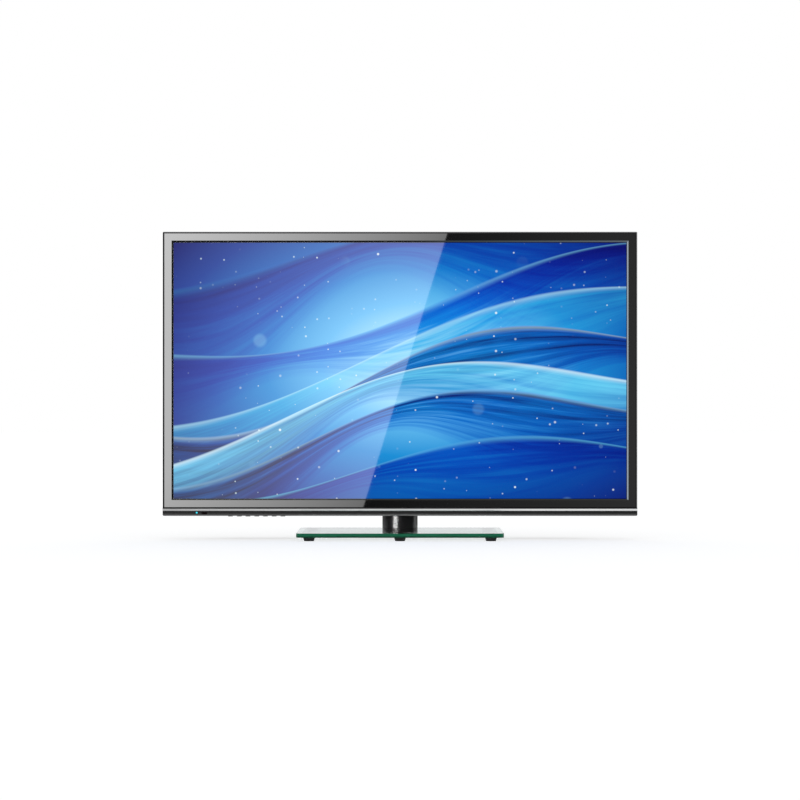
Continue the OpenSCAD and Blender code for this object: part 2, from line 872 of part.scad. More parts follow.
// One key of the row: its cap under the bar and its flange inside
module key(i) {
    flange = play + key_flange;
    color(piano_black) {
        block(key_x(i) - key_w / 2, key_x(i) + key_w / 2, key_y - key_d / 2, key_y + key_d / 2,
            body_z - key_proud, bar_in_z + weld);
        block(key_x(i) - key_w / 2 - flange, key_x(i) + key_w / 2 + flange,
            key_y - key_d / 2 - flange, key_y + key_d / 2 + flange, bar_in_z, bar_in_z + key_flange_t);
    }
}

// The panel and its light

// A flat frame around the picture
module panel_frame(w_out, h_out, w_in, h_in, y0, t) {
    difference() {
        slab(w_out, h_out, y0, t);
        slab(w_in, h_in, y0 - cut, t + 2 * cut);
    }
}

module front_gasket() {
    inner = 2 * (panel_reveal + gasket_inset);
    color(rubber) panel_frame(cell_w, cell_h, panel_w + inner, panel_h + inner, gasket_y, gasket_t);
}

module lcd_cell() {
    color(screen_blue) slab(cell_w, cell_h, cell_y, cell_t);
}

module mid_frame() {
    out = 2 * (play + mid_skirt);
    color(matt_black) {
        panel_frame(cell_w + out, cell_h + out, panel_w + 2 * mid_clear, panel_h + 2 * mid_clear,
            mid_y, mid_t);
        panel_frame(cell_w + out, cell_h + out, cell_w + 2 * play, cell_h + 2 * play,
            sheet_y - weld, tray_back - sheet_y + weld);
    }
}

// A sheet of the lighting stack above the lamp strip
module light_sheet(y0, t) {
    block(-guide_w / 2, guide_w / 2, y0, y0 + t, guide_z, guide_z + guide_h);
}

module prism_sheet() {
    color(sheet_white) light_sheet(sheet_y, sheet_t);
}

module diffuser_sheet() {
    color(sheet_white) light_sheet(sheet_y + sheet_t, sheet_t);
}

module light_guide() {
    color(sheet_white) light_sheet(guide_y, guide_t);
}

module reflector_sheet() {
    color(sheet_white) light_sheet(reflector_y, sheet_t);
}

module heat_spreader() {
    color(silver)
        block(-led_len / 2, led_len / 2, sheet_y + play, tray_y, tray_floor, led_z);
}

module led_strip() {
    led_pitch = led_len / led_count;
    lamp_d = led_d * 0.6;
    lamp_y = guide_y + guide_t / 2 - lamp_d / 2;
    color(nylon) {
        block(-led_len / 2, led_len / 2, sheet_y + play, tray_y - play, led_z, led_z + led_board_t);
        for (i = [0 : led_count - 1])
            translate([-led_len / 2 + (i + 0.5) * led_pitch - led_w / 2, lamp_y, led_z + led_board_t - weld])
                cube([led_w, lamp_d, led_h + weld]);
    }
}

module backlight_tray() {
    color(steel)
        difference() {
            slab(cell_w, cell_h, sheet_y, tray_back - sheet_y);
            slab(tray_in_w, tray_in_h, sheet_y - cut, tray_y - sheet_y + cut);
            bracket_screw_holes();
        }
}

// Electronics

// Corners where a board of this size is held
function board_corners(x, z, w, h) = [for (sx = [-1, 1], sz = [-1, 1])
    [x + sx * (w / 2 - standoff_inset), z + sz * (h / 2 - standoff_inset)]];
// The main and power boards are held clear of the sockets on their outer edges
held_mid = board_mid - socket_d / 2;
held_w = board_w - socket_d;
main_corners = board_corners(held_mid, bay_z + bay_h / 2, held_w, board_h);
power_corners = board_corners(-held_mid, bay_z + bay_h / 2, held_w, board_h);
timing_corners = board_corners(0, timing_z, timing_w, timing_h);
tall_corners = concat(main_corners, power_corners);

module board(x, z, w, h, y0, corners) {
    difference() {
        block(x - w / 2, x + w / 2, y0, y0 + board_t, z - h / 2, z + h / 2);
        for (c = corners) rod_y(c[0], y0 - cut, y0 + board_t + cut, c[1], small_screw_d + screw_play);
    }
}

// A component standing on a board's back
module component(x, z, w, h, y0, d) {
    block(x - w / 2, x + w / 2, y0 - weld, y0 + d, z - h / 2, z + h / 2);
}

module main_board() {
    mid = bay_z + bay_h / 2;
    color(board_green) {
        board(board_mid, mid, board_w, board_h, board_y, main_corners);
        component(board_mid - board_w / 8, mid, board_w / 3, board_w / 3, board_back, heat_sink_h);
        component(board_mid - board_w / 4, mid + board_h / 4, board_w / 5, board_w / 8, board_back, chip_h);
        component(board_mid - board_w / 4, mid - board_h / 4, board_w / 5, board_w / 8, board_back, chip_h);
    }
}

module power_board() {
    mid = bay_z + bay_h / 2;
    color(board_green) {
        board(-board_mid, mid, board_w, board_h, board_y, power_corners);
        component(-board_mid + board_w / 6, mid - board_h / 8, board_w / 3, board_w / 3, board_back,
            transformer_h);
        component(-board_mid - board_w / 4, mid + board_h / 8, board_w / 12, board_w / 2, board_back,
            cooling_fin_h);
        for (k = [-1, 1])
            rod_y(-board_mid + k * board_w / 8, board_back - weld, board_back + capacitor_h,
                mid + board_h / 4, board_w / 6);
    }
}

module timing_board() {
    color(board_green) {
        board(0, timing_z, timing_w, timing_h, timing_y, timing_corners);
        component(0, timing_z, timing_h / 2, timing_h / 2, timing_y + board_t, chip_h);
    }
}

module standoff(c, y1) {
    difference() {
        rod_y(c[0], tray_back, y1, c[1], standoff_d);
        rod_y(c[0], tray_back + timing_gap / 4, y1 + cut, c[1], small_screw_d + screw_play);
    }
}

module board_standoffs() {
    color(brass) {
        for (c = tall_corners) standoff(c, board_y);
        for (c = timing_corners) standoff(c, timing_y);
    }
}

module board_screw(c, y0) {
    translate([c[0], y0, c[1]])
        facing_back() pan_screw(small_screw_d, board_t + timing_gap / 2, head_d, head_h);
}

module board_screws() {
    color(steel) {
        for (c = tall_corners) board_screw(c, board_back);
        for (c = timing_corners) board_screw(c, timing_y + board_t);
    }
}

// The flat cable from the timing board's back to the main board's front
module panel_ribbon() {
    a = timing_y + board_t;
    b = board_y - ribbon_t;
    x0 = timing_w / 2;
    x1 = board_edge - board_w;
    lap = 15;
    bend = 4;
    color(nylon)
        along_z(timing_z - ribbon_w / 2 + timing_h / 4, timing_z + timing_h / 4)
            polygon([
                [x0 - lap, a], [x0 + bend, a], [x1 - bend, b], [x1 + lap, b], [x1 + lap, b + ribbon_t],
                [x1 - bend, b + ribbon_t], [x0 + bend, a + ribbon_t], [x0 - lap, a + ribbon_t]]);
}

module supply_ribbon() {
    reach = board_edge - board_w + cable_lap;
    color(nylon)
        block(-reach, reach, board_back, board_back + ribbon_t,
            supply_z - supply_w / 2, supply_z + supply_w / 2);
}

// Speakers

module speaker_boxes() {
    color(matt_black)
        for (side = [-1, 1])
            translate([side * speaker_x, speaker_y, speaker_z])
                difference() {
                    translate([-speaker_w / 2, -speaker_d / 2, 0]) cube([speaker_w, speaker_d, speaker_h]);
                    translate([-speaker_w / 2 + speaker_wall, -speaker_d / 2 + speaker_wall, speaker_wall])
                        cube([speaker_w - 2 * speaker_wall, speaker_d - 2 * speaker_wall,
                            speaker_h - 2 * speaker_wall]);
                    translate([0, 0, -cut]) cylinder(h = speaker_wall + 2 * cut, d = driver_in_d);
                }
}

module speaker_drivers() {
    cone_r = driver_in_d / 2 - play;
    magnet_r = cone_r / 2;
    color(matt_black)
        for (side = [-1, 1])
            translate([side * speaker_x, speaker_y, driver_z])
                rotate_extrude()
                    polygon([
                        [0, cone_rise], [magnet_r, cone_rise], [cone_r - cone_edge, cone_lip],
                        [cone_r, 0], [driver_d / 2, 0], [driver_d / 2, driver_flange_t],
                        [cone_r, driver_flange_t], [magnet_r + basket_wall, basket_rise],
                        [magnet_r + basket_wall, driver_h], [0, driver_h]]);
}

module speaker_gaskets() {
    color(rubber)
        for (side = [-1, 1])
            translate([side * speaker_x, speaker_y, 0])
                ring(cover_floor, foam_t, driver_d / 2, driver_in_d / 2);
}

// Rear cover

// The slim part, with a bevel around its back, drawn in by s
module slim_form(y0, s) {
    back = slim_back - s;
    half = body_w / 2 - s;
    bevel = slim_bevel + bevel_inset * s;
    intersection() {
        along_y(y0, back) outline(s);
        along_z(body_z, body_top)
            polygon([
                [-half, y0], [half, y0], [half, slim_back - bevel], [body_w / 2 - bevel, back],
                [-body_w / 2 + bevel, back], [-half, slim_back - bevel]]);
        along_x(-body_w, body_w)
            polygon([
                [y0, body_z], [back, body_z], [back, body_top - bevel],
                [slim_back - bevel, body_top - s], [y0, body_top - s]]);
    }
}

// The housing on the lower part, drawn in by s
module bulge_form(y0, s) {
    back = bulge_back - s;
    intersection() {
        along_x(-bulge_w, bulge_w)
            polygon([
                [y0, body_z + s], [bulge_back - bulge_edge - bevel_inset * s, body_z + s],
                [back, body_z + bulge_edge + bevel_inset * s], [back, slope_at(back, s)],
                [y0, slope_at(y0, s)]]);
        along_z(body_z - cut, body_top)
            polygon([
                [-taper_at(y0, s), y0], [taper_at(y0, s), y0],
                [taper_at(back, s), back], [-taper_at(back, s), back]]);
    }
}

// A socket bay on one side, grown by s
module socket_bay(side, h, s) {
    mirror([side < 0 ? 1 : 0, 0, 0])
        block(bay_x - s, bay_reach, slim_back - s, bulge_back + cut, bay_z - s, bay_z + h + s);
}

module socket_bays(s) {
    socket_bay(1, bay_h, s);
    socket_bay(-1, inlet_bay_h, s);
}

// The tongue inside the front frame's top and side walls
module cover_tongue() {
    root = 3;
    intersection() {
        difference() {
            union() {
                along_y(split_y - tongue_d, split_y + root) outline(bezel_wall + play);
                along_y(split_y, split_y + root) outline(cover_wall - weld);
            }
            along_y(split_y - tongue_d - cut, split_y + root + cut) outline(bezel_wall + play + tongue_t);
        }
        block(-body_w, body_w, split_y - tongue_d - cut, slim_back, open_z, body_top);
    }
}

// An opening through a bay's wall
module wall_slot(z, w, y0, y1) {
    block(bay_x - cover_wall - cut, bay_x + cut, y0, y1, z - w / 2 - play, z + w / 2 + play);
}

module socket_slots() {
    for (i = hdmi_slots) wall_slot(socket_z(i), hdmi_w, board_back - play, board_back + hdmi_h + play);
    wall_slot(socket_z(usb_slot), usb_w, board_back - play, board_back + usb_h + play);
    wall_slot(socket_z(vga_slot), vga_shell_w, board_back + (vga_h - vga_shell_h) / 2 - play,
        board_back + (vga_h + vga_shell_h) / 2 + play);
    for (i = av_slots) wall_bore(socket_z(i), av_block, av_d);
    wall_bore(socket_z(antenna_slot), antenna_block, antenna_d);
    wall_bore(socket_z(phone_slot), phone_block, phone_d);
    mirror([1, 0, 0]) wall_slot(inlet_z, inlet_w, board_back - play, board_back + inlet_h + play);
}

// A round hole through a bay's wall for a jack on a block of this height
module wall_bore(z, block_h, d) {
    translate([bay_x - cover_wall - cut, board_back + block_h / 2, z])
        rotate([0, 90, 0]) cylinder(h = cover_wall + 2 * cut, d = d + 2 * play);
}

module vent_slots() {
    z0 = slope_z + vent_margin;
    z1 = body_z + bulge_h - vent_margin;
    for (i = [0 : vent_count - 1])
        translate([(i - (vent_count - 1) / 2) * vent_pitch - vent_w / 2, slim_back + cut, z0])
            cube([vent_w, bulge_d, z1 - z0]);
}

module speaker_slots() {
    for (side = [-1, 1], i = [0 : grille_count - 1])
        translate([side * speaker_x + (i - (grille_count - 1) / 2) * grille_pitch - grille_pitch / 4,
                speaker_y - driver_in_d / 3, body_z - cut])
            cube([grille_pitch / 2, driver_in_d * 2 / 3, cover_wall + 2 * cut]);
}

module rear_cover() {
    color(matt_black) {
        difference() {
            union() {
                slim_form(split_y, 0);
                bulge_form(slim_back - cut, 0);
            }
            socket_bays(0);
            difference() {
                union() {
                    slim_form(split_y - cut, cover_wall);
                    bulge_form(cover_in - cut, cover_wall);
                }
                socket_bays(cover_wall);
            }
            translate([0, 0, body_z - cut])
                cylinder(h = cover_wall + 2 * cut, d = neck_d + 2 * play);
            for (p = post_places)
                rod_y(p[0], cover_in - cut, slim_back + cut, p[1], small_screw_d + screw_play);
            for (p = vesa_places)
                rod_y(p[0], bulge_back - cover_wall - cut, bulge_back + cut, p[1], vesa_post_d + screw_play);
            socket_slots();
            vent_slots();
            speaker_slots();
        }
        cover_tongue();
    }
}

module cover_posts() {
    color(brass)
        for (p = post_places)
            difference() {
                rod_y(p[0], tray_back, cover_in, p[1], post_d);
                rod_y(p[0], cover_in - post_screw_depth - play, cover_in + cut, p[1],
                    small_screw_d + screw_play);
            }
}

module cover_screws() {
    color(steel)
        for (p = post_places)
            translate([p[0], slim_back, p[1]])
                facing_back() pan_screw(small_screw_d, cover_wall + post_screw_depth, head_d, head_h);
}

module vesa_posts() {
    color(steel)
        for (p = vesa_places)
            difference() {
                rod_y(p[0], tray_back, bulge_back, p[1], vesa_post_d);
                rod_y(p[0], bulge_back - vesa_hole_depth, bulge_back + cut, p[1], vesa_hole_d);
            }
}

// Sockets, which look out through the bays' walls

// A hollow shell on the board's back, open at the wall
module shell_socket(z, w, h) {
    difference() {
        block(socket_face - socket_d, socket_face, board_back, board_back + h, z - w / 2, z + w / 2);
        block(socket_face - socket_depth, socket_face + cut, board_back + socket_wall,
            board_back + h - socket_wall, z - w / 2 + socket_wall, z + w / 2 - socket_wall);
    }
    block(socket_face - socket_d, socket_face - socket_wall, board_back + h / 2 - socket_wall / 2,
        board_back + h / 2 + socket_wall / 2, z - w / 2 + 3 * socket_wall, z + w / 2 - 3 * socket_wall);
}

// A round jack on a block, which comes out through the wall
module round_jack(z, block_h, d, hole_d) {
    inner = bay_x - cover_wall - play;
    mid = board_back + block_h / 2;
    difference() {
        union() {
            block(inner - socket_d, inner, board_back, board_back + block_h,
                z - block_h / 2, z + block_h / 2);
            translate([inner - weld, mid, z]) rotate([0, 90, 0])
                cylinder(h = bay_x + jack_reach - inner + weld, d = d);
        }
        translate([inner - socket_d / 2, mid, z]) rotate([0, 90, 0])
            cylinder(h = socket_d + jack_reach + cut, d = hole_d);
    }
}

module hdmi_sockets() {
    color(steel) for (i = hdmi_slots) shell_socket(socket_z(i), hdmi_w, hdmi_h);
}

module usb_socket() {
    color(steel) shell_socket(socket_z(usb_slot), usb_w, usb_h);
}

module vga_socket() {
    z = socket_z(vga_slot);
    inner = bay_x - cover_wall - play;
    y0 = board_back + (vga_h - vga_shell_h) / 2;
    color(screen_blue)
        difference() {
            union() {
                block(inner - socket_d, inner, board_back, board_back + vga_h, z - vga_w / 2, z + vga_w / 2);
                block(inner - weld, bay_x + jack_reach / 2, y0, y0 + vga_shell_h,
                    z - vga_shell_w / 2, z + vga_shell_w / 2);
            }
            block(inner, bay_x + jack_reach, y0 + socket_wall, y0 + vga_shell_h - socket_wall,
                z - vga_shell_w / 2 + socket_wall, z + vga_shell_w / 2 - socket_wall);
        }
}

module av_sockets() {
    color(brass) for (i = av_slots) round_jack(socket_z(i), av_block, av_d, av_hole_d);
}

module antenna_socket() {
    color(steel) round_jack(socket_z(antenna_slot), antenna_block, antenna_d, antenna_hole_d);
}

module headphone_socket() {
    color(matt_black) round_jack(socket_z(phone_slot), phone_block, phone_d, phone_hole_d);
}

module ac_inlet() {
    pin_d = 2.4;
    pin_gap = 8.6;
    recess_d = 9;
    floor_t = 3;
    tail = 4;
    pin_short = 2;
    depth = socket_d + tail;
    back_x = socket_face - depth;
    color(matt_black)
        mirror([1, 0, 0]) {
            difference() {
                block(back_x, socket_face, board_back, board_back + inlet_h,
                    inlet_z - inlet_w / 2, inlet_z + inlet_w / 2);
                along_x(back_x + floor_t, socket_face + cut)
                    translate([board_back + inlet_h / 2, inlet_z]) {
                        square([recess_d, pin_gap], center = true);
                        for (k = [-1, 1]) translate([0, k * pin_gap / 2]) circle(d = recess_d);
                    }
            }
            for (k = [-1, 1])
                translate([back_x + floor_t - weld, board_back + inlet_h / 2, inlet_z + k * pin_gap / 2])
                    rotate([0, 90, 0]) cylinder(h = depth - floor_t - pin_short, d = pin_d);
        }
}

rubber_feet();
glass_base();
clamp_plate();
base_screws();
swivel_collar();
spindle();
thrust_washer();
spindle_washers();
lock_nut();
neck_post();
stand_bracket();
neck_screws();
bracket_screws();
front_bezel();
chin_strip();
chin_bar();
chin_screws();
indicator_lens();
ir_window();
signal_board();
key_board();
front_gasket();
lcd_cell();
mid_frame();
prism_sheet();
diffuser_sheet();
light_guide();
reflector_sheet();
led_strip();
heat_spreader();
backlight_tray();
power_board();
main_board();
timing_board();
board_standoffs();
board_screws();
panel_ribbon();
supply_ribbon();
speaker_boxes();
speaker_drivers();
speaker_gaskets();
rear_cover();
cover_posts();
cover_screws();
vesa_posts();
ac_inlet();
hdmi_sockets();
usb_socket();
vga_socket();
av_sockets();
antenna_socket();
headphone_socket();
key(0);  // key_power
key(1);  // key_source
key(2);  // key_menu
key(3);  // key_volume_down
key(4);  // key_volume_up
key(5);  // key_channel_down
key(6);  // key_channel_up
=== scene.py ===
"""Dress the television's solids: finishes, the lit picture, small fittings, studio and camera."""

import logging
import math
from dataclasses import dataclass, field
from enum import Enum
from typing import Sequence

import bmesh
import bpy
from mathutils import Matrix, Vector


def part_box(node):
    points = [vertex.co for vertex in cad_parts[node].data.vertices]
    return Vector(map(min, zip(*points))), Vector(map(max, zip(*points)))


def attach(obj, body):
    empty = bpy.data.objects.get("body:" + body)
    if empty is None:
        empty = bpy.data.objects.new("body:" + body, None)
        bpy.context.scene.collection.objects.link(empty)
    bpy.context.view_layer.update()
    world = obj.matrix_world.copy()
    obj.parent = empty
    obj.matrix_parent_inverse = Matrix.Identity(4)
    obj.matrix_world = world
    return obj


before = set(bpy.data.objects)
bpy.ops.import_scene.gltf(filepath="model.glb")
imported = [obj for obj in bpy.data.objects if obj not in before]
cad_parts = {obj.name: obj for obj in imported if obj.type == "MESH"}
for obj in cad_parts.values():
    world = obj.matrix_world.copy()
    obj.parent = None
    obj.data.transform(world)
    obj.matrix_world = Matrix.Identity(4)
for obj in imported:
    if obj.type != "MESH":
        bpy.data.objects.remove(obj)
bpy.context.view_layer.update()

LOG = logging.getLogger("television")
MM = 0.001

# Widths of softened edges, and the angle from which an edge is softened.
SHARP, FINE_EDGE, METAL_EDGE, TRIM_EDGE, SOFT_EDGE = 0.0, 0.15 * MM, 0.2 * MM, 0.25 * MM, 0.3 * MM
PIECE_EDGE = 0.08 * MM
CREASE = math.radians(40.0)
# The range that most of a noise texture's values lie in.
NOISE_RANGE = (0.3, 0.7)
WHITE = (1.0, 1.0, 1.0)

Colour = tuple[float, float, float]
Point = tuple[float, float, float]
Span = tuple[float, float]
Material = bpy.types.Material
Socket = bpy.types.NodeSocket
Value = float | Socket


class Body(Enum):
    """Rigid bodies that pieces ride on."""

    BASE = "base"
    DISPLAY = "display"


class Axis(Enum):
    """Axes of the shared frame."""

    X = 0
    Y = 1
    Z = 2


class Blend(Enum):
    """How a band of the picture meets what lies behind it."""

    DEEPEN = "MULTIPLY"
    LIGHTEN = "SCREEN"


class Slot(Enum):
    """Names of material slots of the record; the script gives no piece a slot."""

    STEEL = "steel"
    NYLON = "nylon"
    MATT_BLACK = "matt_black"
    RUBBER = "rubber"


class Graph:
    """The shader nodes of a material or surround, with short calls that add and join them."""

    def __init__(self, name: str, world: bool = False) -> None:
        """Start an empty tree.

        Args:
            name: Name of the material or surround.
            world: Whether it is the scene's surround.
        """
        self.owner = (bpy.data.worlds if world else bpy.data.materials).new(name)
        self.owner.use_nodes = True
        self.tree = self.owner.node_tree
        self.tree.nodes.clear()
        self.output = self.node("OutputWorld" if world else "OutputMaterial")

    def feed(self, socket: Socket, value: object) -> None:
        """Link a socket to another one, or set its constant.

        Args:
            socket: The input to feed.
            value: An output socket, a number or a tuple.
        """
        if isinstance(value, Socket):
            self.tree.links.new(value, socket)
        elif socket.type == "RGBA" and len(value) == 3:
            socket.default_value = (*value, 1.0)
        else:
            socket.default_value = value

    def node(self, kind: str, inputs: dict | None = None, **settings: object) -> bpy.types.Node:
        """Add a node.

        Args:
            kind: The node type's name after "ShaderNode".
            inputs: Values or sockets for its inputs, by name or index.
            **settings: Properties of the node itself.

        Returns:
            The new node.
        """
        made = self.tree.nodes.new("ShaderNode" + kind)
        for key, value in settings.items():
            setattr(made, key, value)
        for key, value in (inputs or {}).items():
            self.feed(made.inputs[key], value)
        return made

    def math(self, operation: str, *values: Value, clamp: bool = False) -> Socket:
        """Add a Math node of one to three values, and return its result."""
        made = self.node("Math", dict(enumerate(values)), operation=operation, use_clamp=clamp)
        return made.outputs[0]

    def span(self, value: Value, low: float, high: float, to_low: float, to_high: float,
             smooth: bool = False) -> Socket:
        """Map a range onto another one and clamp it.

        Args:
            value: The number to map.
            low: Start of its range.
            high: End of its range.
            to_low: Result at the start.
            to_high: Result at the end.
            smooth: Whether the change eases in and out.

        Returns:
            The mapped number's socket.
        """
        kind = "SMOOTHSTEP" if smooth else "LINEAR"
        inputs = {0: value, 1: low, 2: high, 3: to_low, 4: to_high}
        return self.node("MapRange", inputs, interpolation_type=kind).outputs[0]

    def ramp(self, factor: Value, stops: Sequence[tuple[float, Colour]]) -> Socket:
        """Add a colour ramp.

        Args:
            factor: The place along the ramp.
            stops: Places and linear colours.

        Returns:
            The colour's socket.
        """
        made = self.node("ValToRGB", {0: factor})
        elements = made.color_ramp.elements
        while len(elements) < len(stops):
            elements.new(1.0)
        for element, (place, colour) in zip(elements, stops):
            element.position = place
            element.color = (*colour, 1.0)
        return made.outputs[0]

    def mix(self, factor: Value, a: object, b: object, blend: str = "MIX") -> Socket:
        """Mix two colours.

        Args:
            factor: Share of the second.
            a: First colour.
            b: Second colour.
            blend: Blender's name of the blend.

        Returns:
            The mixed colour's socket.
        """
        made = self.node("Mix", data_type="RGBA", blend_type=blend, clamp_factor=True)
        self.feed(made.inputs[0], factor)
        self.feed(made.inputs[6], a)
        self.feed(made.inputs[7], b)
        return made.outputs[2]

    def place(self) -> Socket:
        """Return the object's own coordinates, in metres."""
        return self.node("TexCoord").outputs["Object"]

    def parts(self) -> Sequence[Socket]:
        """Return the three parts of the object's own coordinates."""
        return self.node("SeparateXYZ", {0: self.place()}).outputs

    def noise(self, vector: Socket, scale: float, detail: float = 3.0, roughness: float = 0.5) -> Socket:
        """Add a noise texture with this many cells to a metre, and return its value."""
        inputs = {"Vector": vector, "Scale": scale, "Detail": detail, "Roughness": roughness}
        return self.node("TexNoise", inputs).outputs[0]

    def vary(self, noise: Socket, low: float = 0.0, high: float = 1.0) -> Socket:
        """Map the usual range of a noise onto another range."""
        return self.span(noise, *NOISE_RANGE, low, high)

    def streaks(self, stretch: Point) -> Socket:
        """Return a noise whose scale differs along the three axes."""
        mapping = self.node("Mapping", {"Vector": self.place(), "Scale": stretch})
        return self.noise(mapping.outputs[0], 12.0, 4.0, 0.65)

    def bump(self, height: Value, strength: float, distance: float) -> Socket:
        """Add a bump whose distance is in metres, and return its normal."""
        inputs = {"Height": height, "Strength": strength, "Distance": distance}
        return self.node("Bump", inputs).outputs[0]

    def surface(self, inputs: dict) -> Material:
        """End the tree in a Principled surface with these inputs, and return the material."""
        return self.close(self.node("BsdfPrincipled", inputs))

    def glow(self, colour: Colour, strength: Value) -> Material:
        """End the tree in a glow that hides nothing behind it.

        Args:
            colour: The glow's colour.
            strength: Its strength.

        Returns:
            The finished material.
        """
        lit = self.node("Emission", {"Color": colour, "Strength": strength})
        clear = self.node("BsdfTransparent")
        return self.close(self.node("AddShader", {0: lit.outputs[0], 1: clear.outputs[0]}))

    def close(self, shader: bpy.types.Node) -> Material:
        """Join the last shader to the tree's output, and return the material or surround."""
        self.feed(self.output.inputs["Surface"], shader.outputs[0])
        return self.owner


def shade(colour: Colour, gain: float, lift: float = 0.0) -> Colour:
    """Return a colour multiplied by a gain, with a lift added."""
    return tuple(gain * c + lift for c in colour)


@dataclass(frozen=True)
class GlossPlastic:
    """Clear polished plastic with a faint orange peel and fine dust."""

    name: str
    colour: Colour
    roughness: float = 0.02
    haze: float = 0.03
    ripple: float = 0.002
    ior: float = 1.5

    def material(self) -> Material:
        """Return the finish as a material."""
        graph = Graph(self.name)
        place = graph.place()
        dust = graph.noise(place, 900.0, 4.0, 0.7)
        cloud = graph.noise(place, 14.0, 2.0)
        tone = graph.mix(graph.vary(cloud), self.colour, shade(self.colour, 1.25))
        return graph.surface({
            "Base Color": tone,
            "Roughness": graph.span(dust, 0.62, 0.8, self.roughness, self.roughness + self.haze),
            "Normal": graph.bump(graph.noise(place, 350.0, 1.0), self.ripple, 0.0002),
            "IOR": self.ior,
        })


@dataclass(frozen=True)
class MouldedPlastic:
    """Plastic with a fine spark-eroded grain from its mould."""

    name: str
    colour: Colour
    roughness: float = 0.5
    grain: float = 2600.0
    depth: float = 0.00006
    specular: float = 0.5

    def material(self) -> Material:
        """Return the finish as a material."""
        graph = Graph(self.name)
        place = graph.place()
        pits = graph.noise(place, self.grain, 2.0, 0.6)
        cloud = graph.noise(place, 9.0, 3.0)
        worn = graph.mix(graph.vary(cloud), self.colour, shade(self.colour, 1.35, 0.002))
        return graph.surface({
            "Base Color": graph.mix(graph.span(pits, 0.45, 0.75, 0.0, 0.5), worn, shade(self.colour, 1.8)),
            "Roughness": graph.vary(cloud, self.roughness - 0.05, self.roughness + 0.06),
            "Normal": graph.bump(pits, 0.5, self.depth),
            "Specular IOR Level": self.specular,
        })


@dataclass(frozen=True)
class Metal:
    """Drawn, brushed or plated metal, with streaks along one axis."""

    name: str
    colour: Colour
    roughness: float = 0.3
    stretch: Point = (4.0, 160.0, 160.0)

    def material(self) -> Material:
        """Return the finish as a material."""
        graph = Graph(self.name)
        streak = graph.streaks(self.stretch)
        return graph.surface({
            "Base Color": graph.mix(graph.vary(streak), shade(self.colour, 0.86), self.colour),
            "Metallic": 1.0,
            "Roughness": graph.span(streak, 0.25, 0.75, self.roughness - 0.06, self.roughness + 0.08),
            "Normal": graph.bump(streak, 0.08, 0.0001),
        })


@dataclass(frozen=True)
class TrimFoil:
    """Satin silver foil on the strip, with a black band above the foil's upper edge that is painted shade standing in
    for the dark shadow gap between the frame and the strip.
    """

    name: str
    top: float
    colour: Colour = (0.74, 0.745, 0.75)
    # Painted shade: the black of the band above the foil, standing in for the shadow gap under the frame.
    gap_shade: Colour = (0.004, 0.004, 0.005)
    roughness: float = 0.34
    stretch: Point = (4.0, 160.0, 160.0)
    blur: float = 0.05 * MM

    def material(self) -> Material:
        """Return the finish as a material."""
        graph = Graph(self.name)
        streak = graph.streaks(self.stretch)
        # Mask that is foil below its upper edge and painted shade (black, not metal) above it.
        foil = graph.span(graph.parts()[2], self.top - self.blur, self.top + self.blur, 1.0, 0.0)
        tone = graph.mix(graph.vary(streak), shade(self.colour, 0.9), self.colour)
        return graph.surface({
            "Base Color": graph.mix(foil, self.gap_shade, tone),
            "Metallic": foil,
            "Roughness": graph.span(streak, 0.25, 0.75, self.roughness - 0.05, self.roughness + 0.06),
        })


